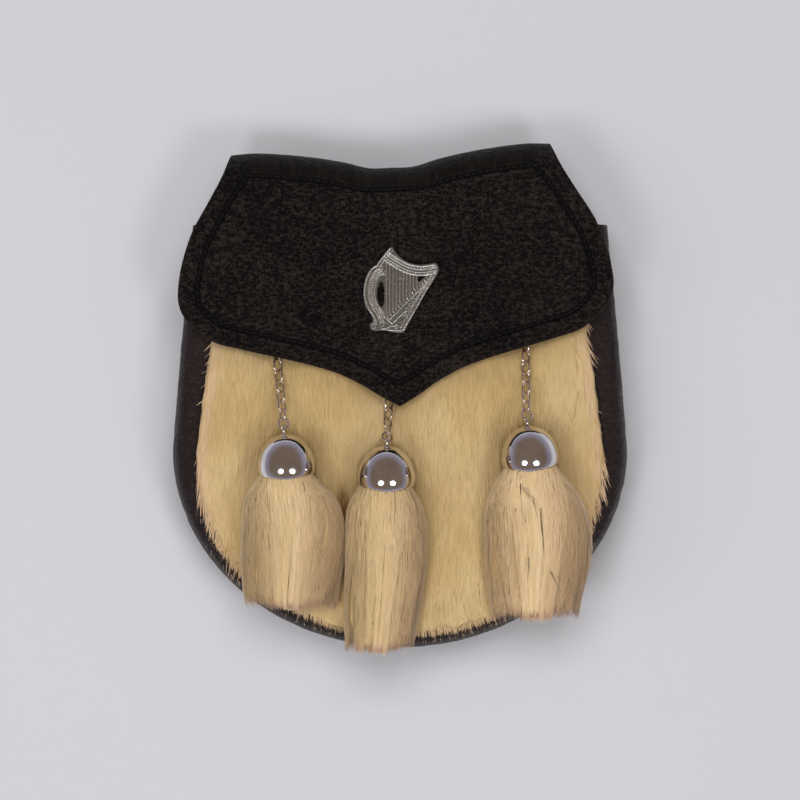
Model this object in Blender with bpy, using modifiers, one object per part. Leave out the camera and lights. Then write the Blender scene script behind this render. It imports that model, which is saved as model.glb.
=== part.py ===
"""Sporran: a half-round leather pouch with a fur front, a pointed flap and three tassels.

Metres, +Z up. It lies on its back on z = 0 with its mouth towards +Y and its front up.
The origin is on the back panel's outer face, in the middle of the widest level.
"""

import math
import random

import bmesh
import bpy
from mathutils import Matrix, Vector

MM = 0.001
GAP = 0.3 * MM

# Pouch body, seen from the front
BODY_WIDTH = 200.0 * MM
BODY_DROP = 87.0 * MM
BODY_RISE = 98.7 * MM
SHOULDER_INSET = 9.0 * MM
SHOULDER_CURVE = 1.1
BODY_DEPTH = 31.0 * MM

# Leather walls
BACK_WALL = 2.4 * MM
GUSSET_WALL = 2.0 * MM
FRONT_WALL = 2.0 * MM
FLAP_WALL = 2.5 * MM
LOOP_WALL = 2.0 * MM

# Back panel: flat where the pouch rests, raised behind the belt loops
BACK_MARGIN = 2.5 * MM
BACK_LIFT = 7.5 * MM
BACK_LIFT_LOW = 12.0 * MM
BACK_LIFT_HIGH = 52.0 * MM
BACK_NECK_HEIGHT = 3.0 * MM
BACK_NECK_WIDTH = 144.0 * MM
BACK_TOP_RISE = 15.5 * MM
BACK_TOP_WIDTH = 132.0 * MM

# Gusset and front panel
FLANGE_WIDTH = 14.0 * MM
FRONT_MARGIN = 9.0 * MM
FRONT_LIP = 2.7 * MM
PANEL_END_ANGLE = math.radians(74.0)

# Fur on the front panel
FUR_BELOW_TOP = 26.7 * MM
FUR_RISE = BODY_RISE - FUR_BELOW_TOP
FUR_MARGIN_TOP = 15.5 * MM
FUR_MARGIN_BOTTOM = 7.5 * MM
FUR_PILE = 7.2 * MM
FUR_EDGE = 2.6 * MM
FUR_ROUND = 18.0 * MM
FUR_PRESSED = 1.5 * MM
FUR_TOOTH = 3.4 * MM
FUR_UNDER_FLAP = 0.8 * MM
LOCK_LENGTH = 21.0 * MM
LOCK_RELIEF = 1.3 * MM
FUR_COLUMNS = 32
FUR_ROWS = 26

# Flap, measured up from its tip
FLAP_TIP_Y = 19.0 * MM
FLAP_TURN = math.radians(2.1)
FLAP_WIDTH = 190.0 * MM
FLAP_HEIGHT = 113.5 * MM
FLAP_TAB_WIDTH = 136.0 * MM
FLAP_TAB_LENGTH = 20.0 * MM
FLAP_MOUTH_CLEAR = 3.2 * MM
FLAP_FUR_CLEAR = 1.3 * MM
FLAP_DROOP = 3.0 * MM
FLAP_SLOPE_LOW = 26.0 * MM
FLAP_SLOPE_HIGH = 79.0 * MM
STUD_WIDTH = 12.0 * MM
STUD_BELOW_TOP = 13.7 * MM
STUD_Y = BODY_RISE - STUD_BELOW_TOP
STUD_SIDES = 16

# Badge
HARP_HEIGHT = 38.0 * MM
HARP_X = 0.4 * MM
HARP_Y = 69.9 * MM
HARP_PLATE = 1.6 * MM
HARP_RIB = 0.9 * MM
HOLE_SIDES = 12

# Belt loops on the back
LOOP_SPACING = 92.0 * MM
LOOP_WIDTH = 24.0 * MM
LOOP_LENGTH = 50.0 * MM
LOOP_FOOT = 8.0 * MM
LOOP_RAMP = 5.0 * MM
LOOP_BELOW_TOP = 17.7 * MM
LOOP_CENTRE_Y = BODY_RISE - LOOP_BELOW_TOP

# Chain link, centre line and wire
LINK_WIRE = 0.95 * MM
LINK_PITCH = 4.6 * MM
LINK_WIDTH = 5.3 * MM
LINK_TWIST = math.radians(45.0)
LINK_SIDES = 10
WIRE_SIDES = 5
STAPLE_WIDTH = 7.0 * MM
STAPLE_PLATE = 1.2 * MM
CHAIN_CLEAR = 3.0 * MM

# Bell caps
DOME_WIDTH = 25.0 * MM
DOME_LENGTH = 18.0 * MM
DOME_WALL = 1.0 * MM
DOME_TILT = math.radians(10.0)
DOME_STEPS = 16
DOME_CROWN = 2.4 * MM
EYE_SINK = 1.0 * MM

# Tassel fur
TASSEL_WIDTH = 47.5 * MM
TASSEL_DEPTH = 19.0 * MM
TASSEL_LOCK_COUNT = 12
TASSEL_VALLEY = 0.89

# Outline of the flap's lower edge from the tip to the lower corner
# (across: share of the corner's half width, up: share of the flap's height)
FLAP_LOWER = (
    (0.00, 0.000),
    (0.09, 0.041),
    (0.18, 0.088),
    (0.30, 0.137),
    (0.41, 0.167),
    (0.61, 0.210),
    (0.76, 0.241),
    (0.90, 0.277),
    (1.00, 0.339),
)

# Side of the flap (up: share of the flap's height, across: share of its half width)
FLAP_SIDE = (
    (0.339, 0.947),
    (0.396, 0.989),
    (0.467, 1.000),
    (0.687, 0.933),
    (0.819, 0.842),
    (0.912, 0.779),
    (1.000, 0.737),
)

# Top edge of the flap (across: share of the top's half width, up: share of its height)
FLAP_TOP = (
    (0.00, 0.925),
    (0.14, 0.927),
    (0.29, 0.952),
    (0.47, 0.974),
    (0.67, 0.991),
    (0.86, 1.000),
    (1.00, 0.996),
)

# Section of the gusset from its back flange up to its seam with the rim, and of the rolled
# rim from the seam to its flange on the front panel
# (inset: share of the flange's width, depth: share from the back panel to the crown)
GUSSET_SECTION = (
    (0.72, 0.00),
    (0.30, 0.00),
    (0.10, 0.08),
    (0.00, 0.26),
    (0.00, 0.50),
)
RIM_SECTION = (
    (0.00, 0.50),
    (0.00, 0.64),
    (0.06, 0.80),
    (0.20, 0.94),
    (0.42, 1.00),
    (0.70, 0.995),
    (1.00, 0.975),
)

# Bell cap, from its top down (radius and height: shares of the half width and the length)
DOME_PROFILE = (
    (0.12, 1.00),
    (0.14, 0.94),
    (0.36, 0.89),
    (0.60, 0.78),
    (0.81, 0.61),
    (0.95, 0.41),
    (1.00, 0.24),
    (0.98, 0.09),
    (0.91, 0.00),
)

# Tassel, from its head in the bell cap to its tips
# (along: share of the length below the rim, width and depth: shares of the halves)
TASSEL_SECTIONS = (
    (-0.09, 0.35, 0.82),
    (0.00, 0.40, 1.00),
    (0.06, 0.44, 1.04),
    (0.15, 0.68, 1.12),
    (0.28, 0.86, 1.08),
    (0.46, 0.96, 0.98),
    (0.66, 1.00, 0.86),
    (0.82, 1.00, 0.74),
    (0.93, 0.96, 0.60),
    (1.00, 0.88, 0.44),
)

# The three tassels: rim centre, lean of the bell cap in degrees, sideways drift of the chain,
# the chain's fall to the fur, centre of the tips, and width of the fur
# (across: shares of the body's half width, down: shares of the body's drop,
# drift: share of the chain's run, fall: share of the chain's length, width: share of the widest)
TASSELS = (
    ("left", -0.491, 0.121, -3.3, -0.11, 0.725, -0.480, 0.770, 1.00),
    ("middle", -0.059, 0.180, 0.7, 0.05, 0.466, -0.052, 0.954, 0.77),
    ("right", 0.568, 0.080, -5.6, 0.00, 0.725, 0.615, 0.782, 0.99),
)
LEFT_LINK_COUNT = 9
MIDDLE_LINK_COUNT = 7
RIGHT_LINK_COUNT = 9

# Outline of the badge, anticlockwise from the crest of the pillar (shares of half its height)
HARP_OUTLINE = (
    (-0.23, 1.00),
    (-0.35, 0.88),
    (-0.45, 0.75),
    (-0.60, 0.55),
    (-0.76, 0.41),
    (-0.83, 0.18),
    (-0.86, -0.02),
    (-0.85, -0.17),
    (-0.78, -0.42),
    (-0.69, -0.55),
    (-0.64, -0.74),
    (-0.71, -0.79),
    (-0.68, -0.91),
    (-0.25, -0.93),
    (0.07, -0.96),
    (0.78, 0.30),
    (0.87, 0.44),
    (0.87, 0.55),
    (0.81, 0.64),
    (0.67, 0.62),
    (0.46, 0.60),
    (0.25, 0.62),
    (0.09, 0.71),
    (-0.07, 0.85),
)

# Piercings of the badge (centre and half sizes: shares of half its height)
HARP_HOLES = (
    (-0.45, -0.09, 0.075, 0.27),
    (0.47, 0.33, 0.058, 0.08),
)

# Raised ribs of the badge: strings, pillar, neck and sound box (shares of half its height)
HARP_STRING_COUNT = 8
HARP_STRING_LEFT = -0.27
HARP_STRING_RIGHT = 0.34
HARP_STRING_TOP = (0.62, 0.44)
HARP_STRING_FOOT = (-0.76, -0.12)
HARP_PILLAR = (
    (-0.24, 0.86),
    (-0.47, 0.58),
    (-0.66, 0.36),
    (-0.72, 0.05),
    (-0.68, -0.28),
    (-0.54, -0.58),
    (-0.52, -0.80),
)
HARP_NECK = (
    (-0.22, 0.80),
    (0.00, 0.66),
    (0.24, 0.54),
    (0.48, 0.52),
    (0.74, 0.54),
)
HARP_SOUND_BOX = (
    (0.00, -0.84),
    (0.22, -0.46),
    (0.46, -0.04),
    (0.68, 0.32),
)

# Rows of the back panel along each side, and columns of the gusset round the outline
SIDE_ROWS = 6
RIM_COLUMNS = 30
RIM_TURN = 1.0 - 2 * SIDE_ROWS / RIM_COLUMNS

# Levels worked out from the sizes above
FLANGE_Z = BACK_WALL + GAP + (BODY_DEPTH - BACK_WALL - GAP) * RIM_SECTION[-1][1]
PANEL_EDGE_Z = FLANGE_Z - GUSSET_WALL - GAP
FUR_BASE = BODY_DEPTH + GAP
PRESSED_Z = FUR_BASE + FUR_PRESSED
STAPLE_Z = PRESSED_Z + GAP
RING_RADIUS = LINK_WIDTH / 2
RING_SINK = 0.7 * MM
CHAIN_LOW = STAPLE_Z + STAPLE_PLATE + RING_RADIUS - RING_SINK
MOUTH_Z = BODY_DEPTH + FLAP_MOUTH_CLEAR
TAB_Z = BACK_LIFT + BACK_WALL + GAP

collection = bpy.data.collections.new("sporran")
cutters = bpy.data.collections.new("cutters")


def clear_scene():
    for item in list(bpy.data.objects):
        bpy.data.objects.remove(item, do_unlink=True)
    bpy.context.scene.collection.children.link(collection)
    bpy.context.scene.collection.children.link(cutters)


def make_material(name, colour, roughness, metallic=0.0):
    material = bpy.data.materials.new(name)
    material.use_nodes = True
    shader = material.node_tree.nodes["Principled BSDF"]
    shader.inputs["Base Color"].default_value = (*colour, 1.0)
    shader.inputs["Roughness"].default_value = roughness
    shader.inputs["Metallic"].default_value = metallic
    return material


def smooth(share):
    share = min(1.0, max(0.0, share))
    return share * share * (3.0 - 2.0 * share)


def mix(start, end, share):
    return start + (end - start) * share


def read_table(rows, key):
    """Value in the second column where the first column is key, between rows in line."""
    for (low, start), (high, end) in zip(rows, rows[1:]):
        if key <= high:
            return mix(start, end, max(0.0, (key - low) / (high - low)))
    return rows[-1][1]


def finish(item, name, material, smooth_angle=40.0):
    item.name = name
    item.data.name = name
    item.data.materials.clear()
    item.data.materials.append(material)
    for owner in list(item.users_collection):
        owner.objects.unlink(item)
    collection.objects.link(item)
    if smooth_angle:
        item.data.shade_smooth()
        item.data.set_sharp_from_angle(angle=math.radians(smooth_angle))
    return item


def new_object(name, mesh_builder, material):
    """An object from a bmesh that mesh_builder has filled."""
    mesh = bpy.data.meshes.new(name)
    mesh_builder.to_mesh(mesh)
    mesh_builder.free()
    item = bpy.data.objects.new(name, mesh)
    collection.objects.link(item)
    return finish(item, name, material)


def sheet(name, columns, rows, place, wall, outward, material):
    """A leather sheet: a grid laid out by place(u, v), with its wall on one side.

    u runs -1 to 1 and v 0 to 1. The wall lies below the grid when outward is True.
    """
    grid = bmesh.new()
    bmesh.ops.create_grid(grid, x_segments=columns, y_segments=rows, size=1.0)
    for vert in grid.verts:
        vert.co = place(vert.co.x, (vert.co.y + 1.0) / 2.0)
    item = new_object(name, grid, material)
    solid = item.modifiers.new("wall", "SOLIDIFY")
    solid.thickness = wall
    solid.offset = -1.0 if outward else 1.0
    solid.use_even_offset = True
    return item


def union(item, others):
    """Join other mesh objects to item, leaving them as hidden guides."""
    for other in others:
        for owner in list(other.users_collection):
            owner.objects.unlink(other)
        cutters.objects.link(other)
        other.hide_render = True
        other.display_type = "WIRE"
        join = item.modifiers.new("join", "BOOLEAN")
        join.operation = "UNION"
        join.object = other


def body_half_width(y):
    if y >= 0.0:
        return BODY_WIDTH / 2 - SHOULDER_INSET * (y / BODY_RISE) ** SHOULDER_CURVE
    return BODY_WIDTH / 2 * math.sqrt(max(0.0, 1.0 - (y / BODY_DROP) ** 2))


def rim_point(s):
    """Point on the outline: s runs from -1 at the left shoulder to 1 at the right."""
    if abs(s) < RIM_TURN:
        angle = s / RIM_TURN * math.pi / 2
        return Vector((BODY_WIDTH / 2 * math.sin(angle), -BODY_DROP * math.cos(angle), 0.0))
    y = BODY_RISE * (abs(s) - RIM_TURN) / (1.0 - RIM_TURN)
    return Vector((math.copysign(body_half_width(y), s), y, 0.0))


def rim_inward(s):
    """Unit vector that points from the outline into the pouch, level along the sides."""
    if abs(s) >= RIM_TURN:
        return Vector((-math.copysign(1.0, s), 0.0, 0.0))
    angle = s / RIM_TURN * math.pi / 2
    return Vector((-BODY_DROP * math.sin(angle), BODY_WIDTH / 2 * math.cos(angle), 0.0)).normalized()


def panel_point(u, v, margin, top):
    """Point on a panel whose edge keeps the margin inside the outline."""
    a = BODY_WIDTH / 2 - margin
    b = BODY_DROP - margin
    split = 0.5
    if v >= split:
        y = top * (v - split) / (1.0 - split)
        return u * (body_half_width(y) - margin), y
    angle = (1.0 - v / split) * PANEL_END_ANGLE
    x = u * a * math.cos(angle)
    if v < 1e-4:
        return x, -b * math.sqrt(1.0 - (x / a) ** 2)
    return x, -b * math.sin(angle)


def back_lift(y):
    """Height of the back panel's outer face, straight from one of its rows to the next."""
    step = BODY_RISE / SIDE_ROWS
    row = max(0, min(SIDE_ROWS - 1, math.floor(y / step)))
    ramp = BACK_LIFT_HIGH - BACK_LIFT_LOW
    low, high = (smooth((level * step - BACK_LIFT_LOW) / ramp) for level in (row, row + 1))
    return BACK_LIFT * mix(low, high, min(1.0, max(0.0, y / step - row)))


def back_panel(leather):
    """The back with its narrower neck, which the flap folds round."""
    body_rows = 2 * SIDE_ROWS
    rows = body_rows + 2

    def place(u, v):
        row = round(v * rows)
        if row <= body_rows:
            x, y = panel_point(u, row / body_rows, BACK_MARGIN, BODY_RISE)
        elif row == body_rows + 1:
            x, y = u * BACK_NECK_WIDTH / 2, BODY_RISE + BACK_NECK_HEIGHT
        else:
            x, y = u * BACK_TOP_WIDTH / 2, BODY_RISE + BACK_TOP_RISE
        return Vector((x, y, back_lift(y)))

    return sheet("back_panel", 11, rows, place, BACK_WALL, False, leather)


def side_strip(name, section, seam_shift, leather):
    """A strip bent to a section and carried round the outline. The seam's row is shifted."""
    last = len(section) - 1

    def place(u, v):
        row = round(v * last)
        inset, depth = section[row]
        spot = rim_point(u) + rim_inward(u) * inset * FLANGE_WIDTH
        spot.z = mix(back_lift(spot.y) + BACK_WALL + GAP, BODY_DEPTH, depth)
        if section[row] == GUSSET_SECTION[-1]:
            spot.z += seam_shift
        return spot

    return sheet(name, RIM_COLUMNS, last, place, GUSSET_WALL, True, leather)


def gusset(leather):
    """The side wall: its back flange is sewn to the back panel."""
    return side_strip("gusset", GUSSET_SECTION, -GAP / 2, leather)


def rim_roll(leather):
    """The rolled rim: it butts on the gusset and turns in over the front panel."""
    return side_strip("rim_roll", RIM_SECTION, GAP / 2, leather)


def front_crown(u, v):
    """Share of the front panel's doming."""
    return smooth((0.92 - abs(u)) / 0.6) * smooth((v - 0.12) / 0.4)


def front_panel(leather):
    top = BODY_RISE - FRONT_LIP

    def place(u, v):
        x, y = panel_point(u, v, FRONT_MARGIN, top)
        return Vector((x, y, mix(PANEL_EDGE_Z, BODY_DEPTH, front_crown(u, v))))

    return sheet("front_panel", 10, 12, place, FRONT_WALL, True, leather)


def flap_local(x, y):
    """Place on the flap of a point of the pouch: across and up from the tip."""
    spot = Matrix.Rotation(-FLAP_TURN, 2) @ Vector((x, y - FLAP_TIP_Y))
    return spot.x, spot.y


def flap_face(across, up):
    """Height of the flap's outer face above the floor."""
    low = FUR_BASE + FUR_PILE + FLAP_FUR_CLEAR
    share = smooth((up - FLAP_SLOPE_LOW) / (FLAP_SLOPE_HIGH - FLAP_SLOPE_LOW))
    droop = FLAP_DROOP * min(1.0, abs(across) / (FLAP_WIDTH / 2)) ** 2.5
    return mix(low, MOUTH_Z, share) + FLAP_WALL - droop * (1.0 - 0.6 * share)


def flap_under(x, y):
    return flap_face(*flap_local(x, y)) - FLAP_WALL


def flap(leather):
    """One sheet: the pointed front, the fold over the mouth and the tab on the back."""
    front_rows, fold_rows, tab_rows = 8, 6, 1
    rows = front_rows + fold_rows + tab_rows
    corner = FLAP_LOWER[-1][1]

    def side(share):
        return read_table(FLAP_SIDE, mix(corner, 1.0, share)) * FLAP_WIDTH / 2

    def local(u, row):
        lower = read_table(FLAP_LOWER, abs(u)) * FLAP_HEIGHT
        upper = read_table(FLAP_TOP, abs(u)) * FLAP_HEIGHT
        top_face = flap_face(u * side(1.0), upper)
        radius = (top_face - TAB_Z) / 2
        bend = upper - radius
        if row <= front_rows:
            share = row / front_rows
            up = mix(lower, bend, share)
            across = u * side(share * (bend - lower) / (upper - lower))
            return across, up, flap_face(across, up)
        angle = min(1.0, (row - front_rows) / fold_rows) * math.pi
        up = bend + radius * math.sin(angle)
        height = TAB_Z + radius * (1.0 + math.cos(angle))
        across = u * side((up - lower) / (upper - lower))
        if angle > math.pi / 2:
            across = u * mix(side(1.0), FLAP_TAB_WIDTH / 2, angle / math.pi * 2.0 - 1.0)
        if row > front_rows + fold_rows:
            up = bend - FLAP_TAB_LENGTH
        return across, up, height

    def place(u, v):
        across, up, height = local(u, round(v * rows))
        spot = Matrix.Rotation(FLAP_TURN, 2) @ Vector((across, up))
        return Vector((spot.x, spot.y + FLAP_TIP_Y, height))

    return sheet("flap", 20, rows, place, FLAP_WALL, True, leather)


def flap_stud(metal):
    """Plain press stud between the front panel and the flap."""
    reach = STUD_WIDTH / 2
    top = min(flap_under(x, STUD_Y + y) for x in (-reach, 0.0, reach) for y in (-reach, 0.0, reach))
    low = BODY_DEPTH + GAP
    height = top - GAP - low
    bpy.ops.mesh.primitive_cylinder_add(
        vertices=STUD_SIDES, radius=reach, depth=height, location=(0.0, STUD_Y, low + height / 2),
    )
    return finish(bpy.context.object, "flap_stud", metal)


def belt_loop(side, x, leather):
    """A strap on the back: a foot at each end and a flat run that clears the panel."""
    half = LOOP_LENGTH / 2
    foot = BACK_LIFT - LOOP_WALL - GAP
    profile = (
        (-half, foot),
        (-half + LOOP_FOOT, foot),
        (-half + LOOP_FOOT + LOOP_RAMP, 0.0),
        (half - LOOP_FOOT - LOOP_RAMP, 0.0),
        (half - LOOP_FOOT, foot),
        (half, foot),
    )
    last = len(profile) - 1

    def place(u, v):
        y, z = profile[round(v * last)]
        return Vector((x + u * LOOP_WIDTH / 2, LOOP_CENTRE_Y + y, z))

    return sheet("belt_loop_" + side, 1, last, place, LOOP_WALL, False, leather)


def tassel_row(row):
    """One row of the tassel table, by name and in metres."""
    name, rim_across, rim_down, lean, drift, fall, tip_across, tip_down, width = row
    links = {"left": LEFT_LINK_COUNT, "middle": MIDDLE_LINK_COUNT, "right": RIGHT_LINK_COUNT}[name]
    bedded = STAPLE_Z + DOME_WIDTH / 2 * math.cos(DOME_TILT)
    rim = Vector((rim_across * BODY_WIDTH / 2, -rim_down * BODY_DROP, bedded))
    lean = math.radians(lean)
    axis = Vector((
        math.sin(lean) * math.cos(DOME_TILT),
        math.cos(lean) * math.cos(DOME_TILT),
        math.sin(DOME_TILT),
    ))
    eye = rim + axis * (DOME_LENGTH + RING_RADIUS - EYE_SINK)
    tip = Vector((tip_across * BODY_WIDTH / 2, -tip_down * BODY_DROP, 0.0))
    return {
        "name": name, "rim": rim, "axis": axis, "eye": eye, "links": links, "drift": drift,
        "fall": fall * links * LINK_PITCH, "tip": tip, "width": width * TASSEL_WIDTH,
    }


def chain_route(tassel):
    """Closely spaced points from the eye down to the fur and on under the flap."""
    eye = tassel["eye"]
    route = []
    steps = 200
    reach = (tassel["links"] + 3) * LINK_PITCH
    for step in range(steps + 1):
        run = reach * step / steps
        left = max(0.0, 1.0 - run / tassel["fall"])
        height = CHAIN_LOW + (eye.z - CHAIN_LOW) * left * left
        route.append(Vector((eye.x + tassel["drift"] * run, eye.y + run, height)))
    return route


def along_route(route, distance):
    """Point and direction at a distance along the route."""
    for start, end in zip(route, route[1:]):
        step = end - start
        if distance <= step.length:
            return start + step.normalized() * distance, step.normalized()
        distance -= step.length
    return route[-1], (route[-1] - route[-2]).normalized()


def chain_places(tassel):
    """Place, direction and roll of the eye, each link and the staple's ring, in order."""
    route = chain_route(tassel)
    count = tassel["links"]
    first = RING_RADIUS - LINK_WIRE + LINK_PITCH / 2 - GAP / 2
    places = []
    for index in range(count + 2):
        distance = 0.0 if index == 0 else first + (index - 1) * LINK_PITCH
        if index == count + 1:
            distance = 2 * first + (count - 1) * LINK_PITCH
        spot, direction = along_route(route, distance)
        ends = min(index, count + 1 - index)
        roll = math.pi / 2 * (index + 1) + LINK_TWIST * min(1.0, ends / 3)
        places.append((spot, direction, roll))
    return places


def link_matrix(spot, direction, roll):
    """Frame with its Y along the chain, turned about it by roll."""
    across = direction.cross(Vector((0.0, 0.0, 1.0))).normalized()
    up = across.cross(direction)
    turn = Matrix((across, direction, up)).transposed().to_4x4()
    return Matrix.Translation(spot) @ turn @ Matrix.Rotation(roll, 4, "Y")


def ring_mesh(name, stretch):
    """A round ring of wire, drawn out lengthways by stretch on each side."""
    bpy.ops.mesh.primitive_torus_add(
        major_segments=LINK_SIDES, minor_segments=WIRE_SIDES,
        major_radius=(LINK_WIDTH - LINK_WIRE) / 2, minor_radius=LINK_WIRE / 2,
    )
    ring = bpy.context.object
    ring.name = name
    for vert in ring.data.vertices:
        if abs(vert.co.y) > LINK_WIRE / 20:
            vert.co.y += math.copysign(stretch, vert.co.y)
    return ring


def chains(metal):
    """Each link an object of its own, all sharing one mesh."""
    inner_half = LINK_PITCH / 2 + GAP / 2
    pattern = ring_mesh("link", inner_half - (LINK_WIDTH / 2 - LINK_WIRE))
    for row in TASSELS:
        tassel = tassel_row(row)
        for index, place in enumerate(chain_places(tassel)[1:-1], start=1):
            link = bpy.data.objects.new("link", pattern.data)
            collection.objects.link(link)
            link.matrix_world = link_matrix(*place)
            finish(link, f"chain_{tassel['name']}_{index:02d}", metal)
    bpy.data.objects.remove(pattern)


def chain_staple(tassel, metal):
    """A small plate on the backing with a ring for the chain's last link."""
    spot, direction, roll = chain_places(tassel)[-1]
    bpy.ops.mesh.primitive_cylinder_add(
        vertices=12, radius=STAPLE_WIDTH / 2, depth=STAPLE_PLATE,
        location=(spot.x, spot.y, STAPLE_Z + STAPLE_PLATE / 2),
    )
    plate = finish(bpy.context.object, "chain_staple_" + tassel["name"], metal)
    ring = ring_mesh("staple_ring", 0.0)
    ring.matrix_world = link_matrix(spot, direction, roll)
    union(plate, [ring])
    return plate


def dome(tassel, metal):
    """A bell cap turned about its axis, open below, with an eye on top."""
    inner = 1.0 - DOME_WALL / (DOME_WIDTH / 2)
    inner_length = DOME_LENGTH - DOME_CROWN
    outline = [(0.0, DOME_LENGTH)]
    outline += [(r * DOME_WIDTH / 2, h * DOME_LENGTH) for r, h in DOME_PROFILE]
    hollow = [row for row in DOME_PROFILE if row[0] > 0.5]
    hollow = hollow[::2] + hollow[-1:]
    outline += [(r * inner * DOME_WIDTH / 2, h * inner_length) for r, h in reversed(hollow)]
    outline += [(0.0, inner_length * DOME_PROFILE[2][1])]
    profile = bpy.data.meshes.new("dome_" + tassel["name"])
    edges = [(index, index + 1) for index in range(len(outline) - 1)]
    profile.from_pydata([(r, 0.0, h) for r, h in outline], edges, [])
    item = bpy.data.objects.new("dome", profile)
    collection.objects.link(item)
    turned = item.modifiers.new("turned", "SCREW")
    turned.steps = DOME_STEPS
    turned.render_steps = DOME_STEPS
    turned.merge_threshold = 1e-5
    turned.use_merge_vertices = True
    weld = item.modifiers.new("weld", "WELD")
    weld.merge_threshold = 1e-5
    turn = tassel["axis"].to_track_quat("Z", "X").to_matrix().to_4x4()
    item.matrix_world = Matrix.Translation(tassel["rim"]) @ turn
    eye = ring_mesh("eye", 0.0)
    side = tassel["axis"].cross(Vector((0.0, 0.0, 1.0))).normalized()
    frame = Matrix((tassel["axis"].cross(side), tassel["axis"], side)).transposed().to_4x4()
    eye.matrix_world = Matrix.Translation(tassel["eye"]) @ frame
    union(item, [eye])
    return finish(item, "dome_" + tassel["name"], metal)


def tassel_centre(tassel, along, half_depth):
    """Middle of the tassel: on the bell cap's axis at its head, then bedded on the fur."""
    length = (tassel["rim"] - tassel["tip"]).y
    if along <= 0.0:
        return tassel["rim"] - tassel["axis"] * along * length
    spot = tassel["rim"].lerp(tassel["tip"], along)
    bedded = STAPLE_Z + half_depth
    spot.z = mix(tassel["rim"].z, bedded, smooth((along - 0.06) / 0.26))
    return spot


def tassel_fur(tassel, seed, fur):
    """A head of fur that spreads into a ring of locks, each ending in its own tip."""
    draw = random.Random(seed)
    sides = 2 * TASSEL_LOCK_COUNT
    length = (tassel["rim"] - tassel["tip"]).y
    bulge = [draw.uniform(0.95, 1.0) for _ in range(TASSEL_LOCK_COUNT)]
    tips = [draw.uniform(0.02, 0.11) for _ in range(TASSEL_LOCK_COUNT)]
    mesh = bmesh.new()
    rings = []
    for along, width, depth in TASSEL_SECTIONS:
        half_depth = depth * TASSEL_DEPTH / 2
        centre = tassel_centre(tassel, along, half_depth)
        ring = []
        for index in range(sides):
            angle = math.tau * index / sides
            lock, valley = divmod(index, 2)
            spread = smooth(along / 0.3)
            factor = mix(1.0, TASSEL_VALLEY if valley else bulge[lock], spread)
            offset = Vector((
                math.cos(angle) * width * tassel["width"] / 2 * factor,
                0.0,
                math.sin(angle) * half_depth * factor,
            ))
            end = smooth((along - 0.66) / 0.34)
            offset.y = (0.05 if valley else -tips[lock]) * length * end
            ring.append(mesh.verts.new(centre + offset))
        rings.append(ring)
    for upper, lower in zip(rings, rings[1:]):
        for index in range(sides):
            after = (index + 1) % sides
            mesh.faces.new((upper[index], upper[after], lower[after], lower[index]))
    for ring in (rings[0], rings[-1]):
        middle = sum((vert.co for vert in ring), Vector()) / sides
        if ring is rings[-1]:
            middle.y += 0.06 * length
        hub = mesh.verts.new(middle)
        for index in range(sides):
            mesh.faces.new((ring[index], ring[(index + 1) % sides], hub))
    bmesh.ops.recalc_face_normals(mesh, faces=mesh.faces)
    return new_object("tassel_fur_" + tassel["name"], mesh, fur)


def press_points(tassels):
    """Where something lies in the fur: start, end, half width and height of its bed."""
    cell = BODY_WIDTH / FUR_COLUMNS
    beds = []
    for tassel in tassels:
        places = chain_places(tassel)
        staple = places[-1][0]
        eye = tassel["eye"]
        touch = eye.lerp(staple, 0.3)
        beds.append((tassel["rim"], eye, DOME_WIDTH * 0.34, PRESSED_Z))
        beds.append((tassel["rim"], tassel["tip"], tassel["width"] * 0.42, PRESSED_Z))
        beds.append((staple, touch, LINK_WIDTH / 2 + cell / 2, CHAIN_LOW - CHAIN_CLEAR))
        beds.append((staple, staple, STAPLE_WIDTH / 2 + cell, PRESSED_Z))
    return beds


def bed_height(x, y, beds):
    """Greatest height that the fur may have at a point."""
    height = flap_under(x, y) - FUR_UNDER_FLAP
    if y < FLAP_TIP_Y:
        height = FUR_BASE + 2 * FUR_PILE
    spot = Vector((x, y))
    for start, end, half_width, bed in beds:
        run = end.xy - start.xy
        share = 0.0
        if run.length > GAP:
            share = min(1.0, max(0.0, (spot - start.xy).dot(run) / run.length_squared))
        away = (spot - start.xy - run * share).length
        height = min(height, bed + 0.8 * max(0.0, away - half_width))
    return height


def fur_margin(v):
    return mix(FUR_MARGIN_BOTTOM, FUR_MARGIN_TOP, v)


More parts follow.
